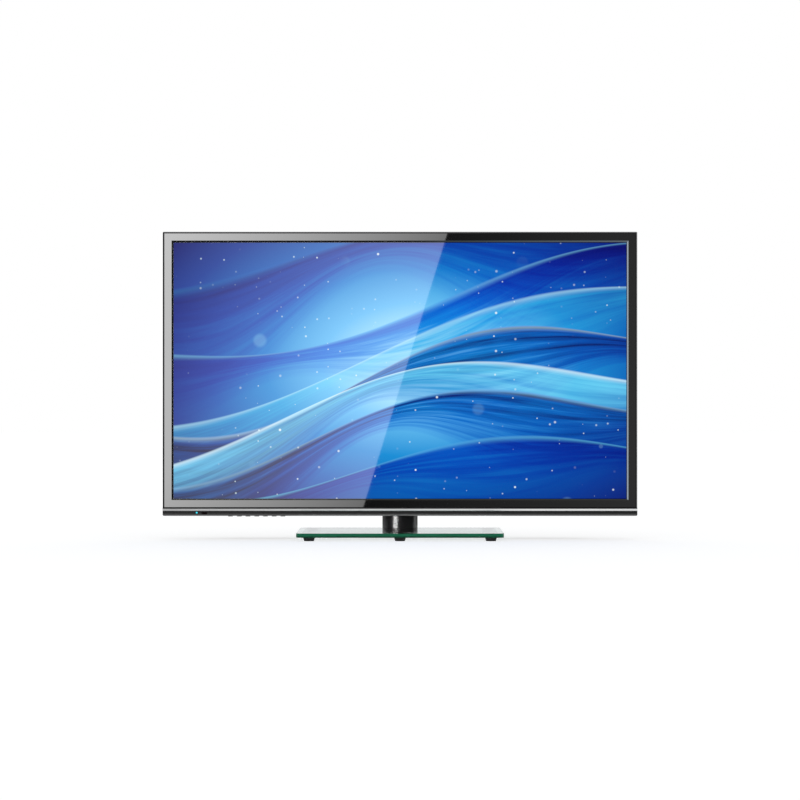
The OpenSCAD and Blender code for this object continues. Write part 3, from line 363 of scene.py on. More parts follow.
@dataclass(frozen=True)
class FloatGlass:
    """Clear glass, green along its thickness, with ground edges painted darker low and lighter high as painted shade
    and light, and a grey field on its top inside a margin.
    """

    name: str
    low: Point
    high: Point
    tint: Colour = (0.132, 0.54, 0.40)
    density: float = 25.0
    edge_green: Colour = (0.012, 0.128, 0.064)
    edge_share: float = 0.8
    # Painted shade and light: gains that darken the edge's lower part and lighten its upper part.
    edge_shading_gains: Span = (0.6, 1.35)
    # Heights above the bottom face over which the painted shading turns from dark to light.
    edge_shading_rise: Span = (1.2 * MM, 3.0 * MM)
    margin: float = 9.0 * MM
    # A flat grey mixed into the top face inside the margin, at the share below.
    smoke: Colour = (0.06, 0.062, 0.062)
    field_share: float = 0.07

    def _sides(self, graph: Graph, parts: Sequence[Socket], axis: Axis) -> Socket:
        """Return the distance to the nearer of the two faces across one axis.

        Args:
            graph: The material's nodes.
            parts: The place's three coordinates.
            axis: The axis.

        Returns:
            The distance's socket.
        """
        place = parts[axis.value]
        below = graph.math("SUBTRACT", place, self.low[axis.value])
        above = graph.math("SUBTRACT", self.high[axis.value], place)
        return graph.math("MINIMUM", below, above)

    def material(self) -> Material:
        """Return the finish as a material."""
        graph = Graph(self.name)
        parts = graph.parts()
        smudge = graph.noise(graph.place(), 22.0, 3.0)
        rise = self._sides(graph, parts, Axis.Z)
        edge = graph.span(rise, 0.2 * MM, 0.5 * MM, 0.0, self.edge_share)
        inset = graph.math("MINIMUM", self._sides(graph, parts, Axis.X), self._sides(graph, parts, Axis.Y))
        upper = graph.math("GREATER_THAN", parts[2], self.high[2] - 0.1 * MM)
        within = graph.span(inset, self.margin - 0.3 * MM, self.margin, 0.0, self.field_share)
        clear = graph.node("BsdfPrincipled", {
            "Base Color": WHITE, "Transmission Weight": 1.0, "IOR": 1.52,
            "Roughness": graph.span(smudge, 0.5, 0.8, 0.0, 0.04)})
        # Painted shade and light: a darker and a lighter copy of the edge's green, blended by height.
        shaded_greens = [shade(self.edge_green, tone) for tone in self.edge_shading_gains]
        shaded_edge_tones = [graph.mix(smudge, green, shade(green, 1.5)) for green in shaded_greens]
        turn = graph.span(parts[2], *(self.low[2] + rise for rise in self.edge_shading_rise), 0.0, 1.0, smooth=True)
        ground = graph.node("BsdfPrincipled", {"Base Color": graph.mix(turn, *shaded_edge_tones), "Roughness": 0.22})
        # The grey field of the top face inside the margin.
        field_shader = graph.node("BsdfPrincipled", {
            "Base Color": graph.mix(smudge, self.smoke, shade(self.smoke, 1.1)),
            "Roughness": 0.6, "Specular IOR Level": 0.2})
        body = graph.node("MixShader", {0: edge, 1: clear.outputs[0], 2: ground.outputs[0]})
        face = graph.node("MixShader", {0: graph.math("MULTIPLY", within, upper), 1: body.outputs[0],
                                        2: field_shader.outputs[0]})
        absorb = graph.node("VolumeAbsorption", {"Color": self.tint, "Density": self.density})
        graph.feed(graph.output.inputs["Volume"], absorb.outputs[0])
        return graph.close(face)


@dataclass(frozen=True)
class Rubber:
    """Matt moulded rubber with a dusty bloom."""

    name: str
    colour: Colour

    def material(self) -> Material:
        """Return the finish as a material."""
        graph = Graph(self.name)
        place = graph.place()
        bloom = graph.noise(place, 180.0, 4.0, 0.6)
        return graph.surface({
            "Base Color": graph.mix(graph.span(bloom, 0.45, 0.8, 0.0, 0.6), self.colour, shade(self.colour, 2.2, 0.01)),
            "Roughness": graph.vary(bloom, 0.6, 0.8),
            "Normal": graph.bump(graph.noise(place, 1500.0, 2.0), 0.3, 0.00008),
        })


@dataclass(frozen=True)
class CircuitBoard:
    """Lacquered board with copper runs under its solder mask."""

    name: str
    mask: Colour
    trace: Colour
    pitch: float = 260.0

    def material(self) -> Material:
        """Return the finish as a material."""
        graph = Graph(self.name)
        inputs = {"Vector": graph.place(), "Scale": self.pitch, "Randomness": 0.0}
        cell = graph.node("TexVoronoi", inputs, distance="CHEBYCHEV").outputs["Distance"]
        run = graph.span(cell, 0.36, 0.4, 0.0, 1.0)
        return graph.surface({
            "Base Color": graph.mix(run, self.mask, self.trace),
            "Roughness": graph.span(cell, 0.3, 0.5, 0.3, 0.45),
            "Normal": graph.bump(run, 0.15, 0.00005),
        })


@dataclass(frozen=True)
class PrintedLabel:
    """Grey film printed with the rules of an empty table, within a margin."""

    name: str
    centre: Point
    size: Span
    film: Colour = (0.075, 0.076, 0.08)
    ink: Colour = (0.26, 0.26, 0.265)
    margin: float = 4.0 * MM
    rule: float = 0.4 * MM
    rows: int = 4
    column: float = 0.36

    def material(self) -> Material:
        """Return the finish as a material."""
        graph = Graph(self.name)
        place = graph.place()
        parts = graph.node("SeparateXYZ", {0: place}).outputs
        table_w, table_h = (side - 2 * self.margin for side in self.size)
        pitch = table_h / self.rows
        across = graph.math("SUBTRACT", parts[0], self.centre[0])
        up = graph.math("SUBTRACT", parts[2], self.centre[2] - table_h / 2)
        row = graph.math("LESS_THAN", graph.math("PINGPONG", up, pitch / 2), self.rule / 2)
        lines = [graph.math("COMPARE", across, x, self.rule / 2)
                 for x in (-table_w / 2, self.column * table_w / 2, table_w / 2)]
        ruled = graph.math("MAXIMUM", row, graph.math("MAXIMUM", graph.math("MAXIMUM", lines[0], lines[1]), lines[2]))
        wide = graph.math("COMPARE", across, 0.0, (table_w + self.rule) / 2)
        tall = graph.math("COMPARE", up, table_h / 2, (table_h + self.rule) / 2)
        ruled = graph.math("MULTIPLY", ruled, graph.math("MULTIPLY", wide, tall))
        grain = graph.noise(place, 700.0, 2.0)
        return graph.surface({
            "Base Color": graph.mix(ruled, graph.mix(grain, self.film, shade(self.film, 1.12)), self.ink),
            "Roughness": graph.vary(grain, 0.34, 0.46),
        })


@dataclass(frozen=True)
class LitLens:
    """Clear light pipe, lit from behind and brightest at its middle."""

    name: str
    glow: Colour
    centre: Point
    radius: float
    strength: float

    def material(self) -> Material:
        """Return the finish as a material."""
        graph = Graph(self.name)
        gap = graph.node("VectorMath", {0: graph.place(), 1: self.centre}, operation="DISTANCE").outputs["Value"]
        core = graph.span(gap, 0.0, self.radius, 1.0, 0.15, smooth=True)
        return graph.surface({
            "Base Color": shade(self.glow, 0.3),
            "Roughness": graph.span(gap, 0.0, self.radius, 0.08, 0.2),
            "Emission Color": graph.mix(core, self.glow, (0.10, 0.82, 0.95)),
            "Emission Strength": self.strength,
        })


@dataclass(frozen=True)
class Ribbon:
    """One silk-like band of the picture, in half widths and half heights of the screen."""

    level: float
    slope: float
    swing: float
    waves: float
    phase: float
    width: float
    blend: Blend
    colour: Colour
    rim: Colour
    rim_share: float
    fall: float = 1.2
    twist: float = 1.7


@dataclass(frozen=True)
class Beads:
    """Small drifting lights or specks of the picture, counted to half the screen's height."""

    scale: float
    drift: float
    size: float
    blur: float
    sparse: float
    colour: Colour
    weight: float


@dataclass(frozen=True)
class PanelPicture:
    """The lit panel: a blue glow, flowing bands and drifting beads, black beyond the picture."""

    name: str
    centre: Point
    half_w: float
    half_h: float
    ribbons: tuple[Ribbon, ...]
    beads: tuple[Beads, ...]
    glow_at: Span = (0.1, 0.06)
    strength: float = 1.0

    SKY = (
        (0.00, (0.66, 0.93, 1.00)),
        (0.16, (0.38, 0.76, 0.97)),
        (0.32, (0.12, 0.50, 0.88)),
        (0.50, (0.010, 0.27, 0.67)),
        (0.68, (0.002, 0.125, 0.48)),
        (0.84, (0.002, 0.042, 0.31)),
        (1.00, (0.004, 0.009, 0.16)),
    )

    VEIL = (0.02, 0.42, 0.86)

    def _axes(self, graph: Graph) -> tuple[Socket, Socket]:
        """Return the place on the screen, from -1 to 1 across and up.

        Args:
            graph: The material's nodes.

        Returns:
            The two sockets.
        """
        parts = graph.parts()
        across = graph.math("DIVIDE", graph.math("SUBTRACT", parts[0], self.centre[0]), self.half_w)
        up = graph.math("DIVIDE", graph.math("SUBTRACT", parts[2], self.centre[2]), self.half_h)
        return across, up

    def _sky(self, graph: Graph, u: Socket, v: Socket) -> Socket:
        """Return the glow behind the bands.

        Args:
            graph: The material's nodes.
            u: Place across.
            v: Place up.

        Returns:
            The colour's socket.
        """
        du = graph.math("SUBTRACT", u, self.glow_at[0])
        dv = graph.math("MULTIPLY", graph.math("SUBTRACT", v, self.glow_at[1]), 0.94)
        far = graph.math("SQRT", graph.math("ADD", graph.math("MULTIPLY", du, du), graph.math("MULTIPLY", dv, dv)))
        return graph.ramp(graph.math("MULTIPLY", far, 0.72), self.SKY)

    def _band(self, graph: Graph, u: Socket, v: Socket, ribbon: Ribbon) -> tuple[Socket, Socket]:
        """Return how much of one band and of its bright rim shows at a place.

        Args:
            graph: The material's nodes.
            u: Place across.
            v: Place up.
            ribbon: The band.

        Returns:
            The sockets of the two shares.
        """
        wave = graph.math("SINE", graph.math("MULTIPLY_ADD", u, ribbon.waves, ribbon.phase))
        level = graph.math("MULTIPLY_ADD", wave, ribbon.swing, ribbon.level)
        crest = graph.math("MULTIPLY_ADD", u, ribbon.slope, level)
        pinch = graph.math("SINE", graph.math("MULTIPLY_ADD", u, ribbon.waves * ribbon.twist, -ribbon.phase))
        breadth = graph.math("MULTIPLY_ADD", pinch, 0.55 * ribbon.width, ribbon.width)
        depth = graph.math("DIVIDE", graph.math("SUBTRACT", crest, v), breadth)
        inside = graph.span(depth, 0.0, 0.035, 0.0, 1.0, smooth=True)
        fade = graph.math("POWER", graph.span(depth, 0.0, 1.0, 1.0, 0.0), ribbon.fall)
        along = graph.node("CombineXYZ", {0: graph.math("MULTIPLY", u, 0.3), 1: graph.math("MULTIPLY", depth, 2.6),
                                          2: ribbon.phase}).outputs[0]
        fibre = graph.span(graph.noise(along, 5.0, 4.0, 0.55), 0.32, 0.7, 0.45, 1.2)
        rim = graph.math("POWER", graph.span(depth, 0.0, 0.10, 1.0, 0.0), 2.0)
        body = graph.math("MULTIPLY", inside, graph.math("MULTIPLY", fade, fibre), clamp=True)
        return body, graph.math("MULTIPLY", inside, rim)

    def _beads(self, graph: Graph, u: Socket, v: Socket, bead: Beads) -> Socket:
        """Return how much of the drifting beads shows at a place.

        Args:
            graph: The material's nodes.
            u: Place across.
            v: Place up.
            bead: The kind of beads.

        Returns:
            The share's socket.
        """
        across = graph.math("MULTIPLY", u, self.half_w / self.half_h)
        at = graph.node("CombineXYZ", {0: graph.math("ADD", across, bead.drift), 1: v}).outputs[0]
        cell = graph.node("TexVoronoi", {"Vector": at, "Scale": bead.scale}, voronoi_dimensions="2D")
        pick = graph.node("SeparateColor", {0: cell.outputs["Color"]}).outputs
        radius = graph.span(pick[0], bead.sparse, 1.0, 0.03, bead.size)
        near = graph.math("DIVIDE", cell.outputs["Distance"], radius)
        disc = graph.span(near, 1.0 - bead.blur, 1.0, 1.0, 0.0, smooth=True)
        cloud = graph.span(graph.noise(at, 1.4, 1.0), 0.44, 0.62, 0.0, 1.0, smooth=True)
        present = graph.math("GREATER_THAN", pick[0], bead.sparse)
        strength = graph.math("MULTIPLY", cloud, graph.span(pick[1], 0.0, 1.0, 0.35, 1.0))
        return graph.math("MULTIPLY", graph.math("MULTIPLY", disc, present), strength)

    def material(self) -> Material:
        """Return the lit panel as a material."""
        graph = Graph(self.name)
        u, v = self._axes(graph)
        colour = self._sky(graph, u, v)
        for ribbon in self.ribbons:
            body, rim = self._band(graph, u, v, ribbon)
            if ribbon.blend is Blend.DEEPEN:
                veil = graph.math("MULTIPLY", body, 1.8, clamp=True)
                colour = graph.mix(veil, colour, self.VEIL, ribbon.blend.value)
                body = graph.math("MULTIPLY", body, body)
            colour = graph.mix(body, colour, ribbon.colour, ribbon.blend.value)
            colour = graph.mix(graph.math("MULTIPLY", rim, ribbon.rim_share), colour, ribbon.rim)
        for bead in self.beads:
            share = graph.math("MULTIPLY", self._beads(graph, u, v, bead), bead.weight)
            colour = graph.mix(share, colour, bead.colour)
        edge = graph.math("MAXIMUM", graph.math("ABSOLUTE", u), graph.math("ABSOLUTE", v))
        lit = graph.span(edge, 1.0, 1.0015, 1.0, 0.0)
        face = graph.math("LESS_THAN", graph.parts()[1], self.centre[1])
        return graph.surface({
            "Base Color": (0.004, 0.004, 0.005),
            "Roughness": graph.vary(graph.noise(graph.place(), 1200.0, 2.0), 0.012, 0.03),
            "IOR": 1.5,
            "Emission Color": graph.mix(graph.math("MULTIPLY", lit, face), (0.0, 0.0, 0.0), colour),
            "Emission Strength": self.strength,
        })


@dataclass(frozen=True)
class GlareCard:
    """Glow of a studio reflector that fades away on both sides of a slanted edge."""

    name: str
    foot_x: float
    lean: float
    reach: float
    at_edge: float
    at_far: float
    right_reach: float
    right_edge: float
    right_far: float
    fade_x: Span = (0.5, 0.9)
    fade_top: Span = (0.58, 0.95)
    fade_foot: Span = (-0.4, 0.1)

    def material(self) -> Material:
        """Return the glow as a material."""
        graph = Graph(self.name)
        parts = graph.parts()
        edge = graph.math("MULTIPLY_ADD", parts[2], self.lean, self.foot_x)
        away = graph.math("SUBTRACT", edge, parts[0])
        left = graph.span(away, 0.0, self.reach, self.at_edge, self.at_far)
        right = graph.span(away, -self.right_reach, 0.0, self.right_far, self.right_edge)
        lit = graph.math("GREATER_THAN", away, 0.0)
        power = graph.math("MULTIPLY_ADD", lit, graph.math("SUBTRACT", left, right), right)
        wide = graph.span(graph.math("ABSOLUTE", parts[0]), *self.fade_x, 1.0, 0.0, smooth=True)
        high = graph.span(parts[2], *self.fade_top, 1.0, 0.0, smooth=True)
        low = graph.span(parts[2], *self.fade_foot, 0.0, 1.0, smooth=True)
        soft = graph.math("MULTIPLY", wide, graph.math("MULTIPLY", high, low))
        return graph.glow(WHITE, graph.math("MULTIPLY", power, soft))


@dataclass(frozen=True)
class EvenCard:
    """A studio reflector whose glow changes evenly along one axis, and what mirrors it."""

    name: str
    axis: Axis
    corners: tuple[Point, ...]
    glow: Span
    node: str
    tint: Colour = WHITE
    soft: Point = (0.0, 0.0, 0.0)

    def material(self) -> Material:
        """Return the glow as a material that fades at the soft ends."""
        graph = Graph(self.name)
        parts = graph.parts()
        reach = [(min(places), max(places)) for places in zip(*self.corners)]
        power = graph.span(parts[self.axis.value], *reach[self.axis.value], *self.glow)
        for part, fade, (low, high) in zip(parts, self.soft, reach):
            if fade:
                rise = graph.span(part, low, low + fade, 0.0, 1.0, smooth=True)
                fall = graph.span(part, high - fade, high, 1.0, 0.0, smooth=True)
                power = graph.math("MULTIPLY", power, graph.math("MULTIPLY", rise, fall))
        return graph.glow(self.tint, power)


@dataclass(frozen=True)
class SoftBox:
    """A broad lamp of the studio."""

    name: str
    place: Point
    aim: Point
    size: Span
    power: float

    def hang(self) -> bpy.types.Object:
        """Hang the lamp, unseen by the camera, and return it."""
        data = bpy.data.lights.new(self.name, "AREA")
        data.shape = "RECTANGLE"
        data.size, data.size_y = self.size
        data.energy = self.power
        lamp = bpy.data.objects.new(self.name, data)
        lamp.location = self.place
        lamp.rotation_euler = (Vector(self.aim) - Vector(self.place)).to_track_quat("-Z", "Y").to_euler()
        lamp.visible_camera = False
        bpy.context.scene.collection.objects.link(lamp)
        return lamp


def upright(start: Span, end: Span, heights: Span) -> tuple[Point, ...]:
    """Return the corners of an upright card between two places on the floor's plan and two heights."""
    foot, top = heights
    return (*start, foot), (*end, foot), (*end, top), (*start, top)


def flat(across: Span, deep: Span, height: float) -> tuple[Point, ...]:
    """Return the corners of a card that lies flat between two sides, a front and a back."""
    (left, right), (front, back) = across, deep
    return (left, front, height), (right, front, height), (right, back, height), (left, back, height)


def mesh_object(name: str, builder: bmesh.types.BMesh) -> bpy.types.Object:
    """Turn a bmesh into an object in the scene.

    Args:
        name: Name of the new object.
        builder: The shape, which is freed.

    Returns:
        The new object.
    """
    mesh = bpy.data.meshes.new(name)
    builder.to_mesh(mesh)
    builder.free()
    made = bpy.data.objects.new(name, mesh)
    bpy.context.scene.collection.objects.link(made)
    return made


def dress(material: Material, edge: float, *nodes: str) -> None:
    """Give CAD nodes their finish and soften their edges.

    Args:
        material: The finish.
        edge: Width of the softened edges in metres, or SHARP.
        *nodes: The nodes' names.
    """
    for node in nodes:
        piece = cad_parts[node]
        piece.data.materials.clear()
        piece.data.materials.append(material)
        if edge:
            soft = piece.modifiers.new("soft_edges", "BEVEL")
            soft.width = edge
            soft.segments = 3
            soft.limit_method = "ANGLE"
            soft.angle_limit = CREASE
            soft.harden_normals = True
        LOG.info("%s dressed as %s", node, material.name)


def settle(name: str, builder: bmesh.types.BMesh, material: Material, body: Body = Body.DISPLAY) -> None:
    """Make a shape into a piece with its finish, and fix it to a body.

    Args:
        name: The piece's name.
        builder: The shape, which is freed.
        material: Its finish.
        body: What it moves with.
    """
    bmesh.ops.recalc_face_normals(builder, faces=builder.faces)
    piece = mesh_object(name, builder)
    piece.data.materials.append(material)
    for face in piece.data.polygons:
        face.use_smooth = True
    soft = piece.modifiers.new("soft_edges", "BEVEL")
    soft.width = PIECE_EDGE
    soft.segments = 2
    soft.limit_method = "ANGLE"
    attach(piece, body.value)
    LOG.info("%s added on %s", name, body.value)


def ring_of(centre: Point, axis: Axis, profile: Sequence[Span], steps: int = 48) -> bmesh.types.BMesh:
    """Turn a closed profile about an axis.

    Args:
        centre: A point on the axis.
        axis: The axis.
        profile: Radii and distances along the axis.
        steps: Steps around.

    Returns:
        The ring.
    """
    builder = bmesh.new()
    loops = []
    for k in range(steps):
        turn = math.tau * k / steps
        c, s = math.cos(turn), math.sin(turn)
        row = []
        for radius, along in profile:
            local = [radius * c, radius * s]
            local.insert(axis.value, along)
            row.append(builder.verts.new(Vector(centre) + Vector(local)))
        loops.append(row)
    count = len(profile)
    for k in range(steps):
        here, there = loops[k], loops[(k + 1) % steps]
        for j in range(count):
            n = (j + 1) % count
            builder.faces.new((here[j], here[n], there[n], there[j]))
    return builder


def sloped(radii: Span, heights: Span, slope: float) -> tuple[Span, ...]:
    """Return a ring's profile from its foot to its top, where it is narrower by a slope on both sides."""
    (inner, outer), (foot, top) = radii, heights
    return (inner, foot), (outer, foot), (outer - slope, top), (inner + slope, top)


def coat(kind: type, name: str, *values: object, **named: float) -> Material:
    """Return a field whose material, of this kind of finish, is made together with the palette."""
    return field(default_factory=lambda: kind(name, *values, **named).material())


@dataclass
class Palette:
    """Every finish of the set, each made once."""

    piano_black: Material = coat(GlossPlastic, "piano_black", (0.0022, 0.0022, 0.0026))
    neck_black: Material = coat(GlossPlastic, "neck_black", (0.0035, 0.0033, 0.0036), 0.24)
    # Painted shade: the neck's black with a lower IOR, reflecting less so the collar reads darker, as if shaded at the
    # neck's foot.
    collar_black: Material = coat(GlossPlastic, "collar_black", (0.0035, 0.0033, 0.0036), 0.24, ior=1.36)
    smoked_window: Material = coat(GlossPlastic, "smoked_window", (0.006, 0.002, 0.003), 0.05)
    textured_black: Material = coat(MouldedPlastic, "textured_black", (0.009, 0.009, 0.010), 0.46, specular=0.4)
    matt_black: Material = coat(MouldedPlastic, "matt_black", (0.012, 0.012, 0.013), 0.42, 3200.0, 0.00004)
    nylon: Material = coat(MouldedPlastic, "nylon", (0.68, 0.66, 0.6), 0.4, 1800.0, 0.00003)
    light_sheet: Material = coat(MouldedPlastic, "light_sheet", (0.8, 0.82, 0.84), 0.35, 900.0, 0.00003)
    socket_blue: Material = coat(MouldedPlastic, "socket_blue", (0.02, 0.07, 0.36), 0.4)
    phono_red: Material = coat(MouldedPlastic, "phono_red", (0.42, 0.015, 0.012), 0.36)
    phono_white: Material = coat(MouldedPlastic, "phono_white", (0.74, 0.73, 0.7), 0.36)
    phono_yellow: Material = coat(MouldedPlastic, "phono_yellow", (0.75, 0.42, 0.012), 0.36)
    steel: Material = coat(Metal, "steel", (0.56, 0.57, 0.59), 0.34, (30.0, 30.0, 30.0))
    brass: Material = coat(Metal, "brass", (0.66, 0.5, 0.22), 0.3, (30.0, 60.0, 60.0))
    aluminium: Material = coat(Metal, "aluminium", (0.78, 0.79, 0.8), 0.38)
    rubber: Material = coat(Rubber, "rubber", (0.022, 0.021, 0.021))
    circuit_board: Material = coat(CircuitBoard, "circuit_board", (0.012, 0.10, 0.04), (0.05, 0.24, 0.1))


@dataclass
class GlassStand:
    """The glass base on its feet, with the clamp and collar that the neck turns on."""

    palette: Palette
    foot_edge: float = 0.35 * MM
    # The ring is painted shade: a dark band standing in for the seam's shade at the neck's foot.
    ring_z: float = 13.8 * MM
    ring_h: float = 0.6 * MM
    ring_proud: float = 0.12 * MM
    ring_flat: float = 0.7
    ring_steps: int = 96

    def dress(self) -> None:
        """Give the stand's nodes their finishes."""
        tint = self.palette
        low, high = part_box("glass_base")
        dress(FloatGlass("base_glass", tuple(low), tuple(high)).material(), SOFT_EDGE, "glass_base")
        dress(tint.rubber, self.foot_edge, "rubber_feet")
        dress(tint.collar_black, SOFT_EDGE, "swivel_collar")
        dress(tint.steel, METAL_EDGE, "clamp_plate", "base_screws", "spindle", "spindle_washers", "lock_nut")
        dress(tint.nylon, SHARP, "thrust_washer")

    def build(self) -> None:
        """Add a thin ring in the rubber finish round the collar: painted shade, a dark piece standing in for the shaded
        seam at the neck's foot.
        """
        low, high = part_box("swivel_collar")
        radius, half = 0.5 * (high[0] - low[0]), 0.5 * self.ring_h
        inner, outer, crest = radius - self.ring_proud, radius + self.ring_proud, self.ring_flat * half
        profile = ((inner, -half), (outer, -crest), (outer, crest), (inner, half))
        ring = ring_of((0.0, 0.0, self.ring_z), Axis.Z, profile, self.ring_steps)
        settle("collar_ring", ring, self.palette.rubber, Body.BASE)


@dataclass
class SwivelNeck:
    """The round neck and the steel bracket that carries the screen."""

    palette: Palette
    edge: float = 0.4 * MM

    def dress(self) -> None:
        """Give the neck's nodes their finishes."""
        dress(self.palette.neck_black, self.edge, "neck_post")
        dress(self.palette.steel, METAL_EDGE, "stand_bracket", "neck_screws", "bracket_screws")


@dataclass
class FrontFrame:
    """The glossy frame with its silver strip, lower bar, keys and power light."""

    palette: Palette
    edge: float = 0.6 * MM
    key_edge: float = 0.5 * MM
    # Depth of the painted shade band at the strip's top, above the foil's upper edge.
    shade_band_drop: float = 1.05 * MM
    light_glow: Colour = (0.0, 0.38, 0.48)
    light_r: float = 1.4 * MM
    light_power: float = 1.3
    keys: tuple[str, ...] = ("power", "source", "menu", "volume_down", "volume_up", "channel_down", "channel_up")

    def dress(self) -> None:
        """Give the front's nodes their finishes."""
        tint = self.palette
        dress(tint.piano_black, self.edge, "front_bezel")
        foil = TrimFoil("silver_trim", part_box("chin_strip")[1].z - self.shade_band_drop)
        dress(foil.material(), TRIM_EDGE, "chin_strip")
        dress(tint.piano_black, SOFT_EDGE, "chin_bar")
        dress(tint.steel, SHARP, "chin_screws")
        dress(tint.rubber, SHARP, "front_gasket")
        dress(tint.smoked_window, FINE_EDGE, "ir_window")
        dress(tint.circuit_board, SHARP, "signal_board", "key_board")
        dress(tint.piano_black, self.key_edge, *("key_" + key for key in self.keys))
        self.light()

    def light(self) -> None:
        """Light the indicator, brightest at the middle of its face."""
        low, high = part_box("indicator_lens")
        middle = (low + high) / 2
        lens = LitLens("lit_indicator", self.light_glow, (middle.x, low.y, middle.z), self.light_r, self.light_power)
        dress(lens.material(), SOFT_EDGE, "indicator_lens")


@dataclass
class ScreenPanel:
    """The panel with its lit picture and the sheets, lamps and tray behind it."""

    palette: Palette
    picture_w: float = 694.1 * MM
    picture_h: float = 392.2 * MM
    glass_t: float = 0.8 * MM
    ribbons: tuple[Ribbon, ...] = (
        Ribbon(0.98, 0.20, 0.14, 2.4, 1.1, 0.75, Blend.DEEPEN, (0.02, 0.30, 0.60), (0.03, 0.42, 0.86), 0.35),
        Ribbon(0.50, 0.34, 0.18, 2.5, -0.5, 0.50, Blend.DEEPEN, (0.05, 0.50, 0.80), (0.26, 0.76, 1.0), 0.7),
        Ribbon(0.16, 0.40, 0.20, 2.3, 0.3, 0.50, Blend.LIGHTEN, (0.02, 0.26, 0.40), (0.60, 0.93, 1.0), 0.8),
        Ribbon(-0.02, 0.34, 0.22, 2.9, 0.5, 0.44, Blend.DEEPEN, (0.003, 0.04, 0.18), (0.62, 0.94, 1.0), 0.7, 0.6),
        Ribbon(-0.24, 0.26, 0.25, 2.3, 1.2, 0.42, Blend.LIGHTEN, (0.14, 0.56, 0.82), (0.93, 1.0, 1.0), 0.95),
        Ribbon(-0.44, 0.24, 0.23, 2.6, 1.0, 0.42, Blend.DEEPEN, (0.002, 0.05, 0.22), (0.45, 0.88, 1.0), 0.6, 0.7),
        Ribbon(-0.74, 0.14, 0.17, 2.7, 0.4, 0.46, Blend.DEEPEN, (0.01, 0.36, 0.72), (0.16, 0.72, 0.98), 0.8),
    )
    beads: tuple[Beads, ...] = (
        Beads(2.9, 0.4, 0.20, 0.5, 0.66, (0.40, 0.84, 1.0), 0.22),
        Beads(6.5, 1.7, 0.10, 0.7, 0.70, (0.92, 1.0, 1.0), 0.95),
        Beads(11.0, 3.1, 0.12, 0.6, 0.78, (0.80, 0.97, 1.0), 0.8),
    )

    def dress(self) -> None:
        """Light the picture and give the layers behind it their finishes."""
        low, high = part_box("lcd_cell")
        middle = (low + high) / 2
        centre = (middle.x, low.y + self.glass_t, middle.z)
        picture = PanelPicture("lit_panel", centre, self.picture_w / 2, self.picture_h / 2, self.ribbons,
                               self.beads)
        dress(picture.material(), SHARP, "lcd_cell")
        tint = self.palette
        dress(tint.matt_black, SHARP, "mid_frame")
        dress(tint.light_sheet, SHARP, "prism_sheet", "diffuser_sheet", "light_guide", "reflector_sheet")
        dress(tint.nylon, SHARP, "led_strip")
        dress(tint.aluminium, SHARP, "heat_spreader")
        dress(tint.steel, SHARP, "backlight_tray")


@dataclass
class Electronics:
    """The boards, cables and speakers inside the housing."""

    palette: Palette

    def dress(self) -> None:
        """Give the inner nodes their finishes."""
        tint = self.palette
        dress(tint.circuit_board, SHARP, "power_board", "main_board", "timing_board")
        dress(tint.nylon, SHARP, "panel_ribbon", "supply_ribbon")
        dress(tint.matt_black, SHARP, "speaker_boxes", "speaker_drivers")
        dress(tint.rubber, SHARP, "speaker_gaskets")
        dress(tint.brass, SHARP, "board_standoffs")
        dress(tint.steel, SHARP, "board_screws")


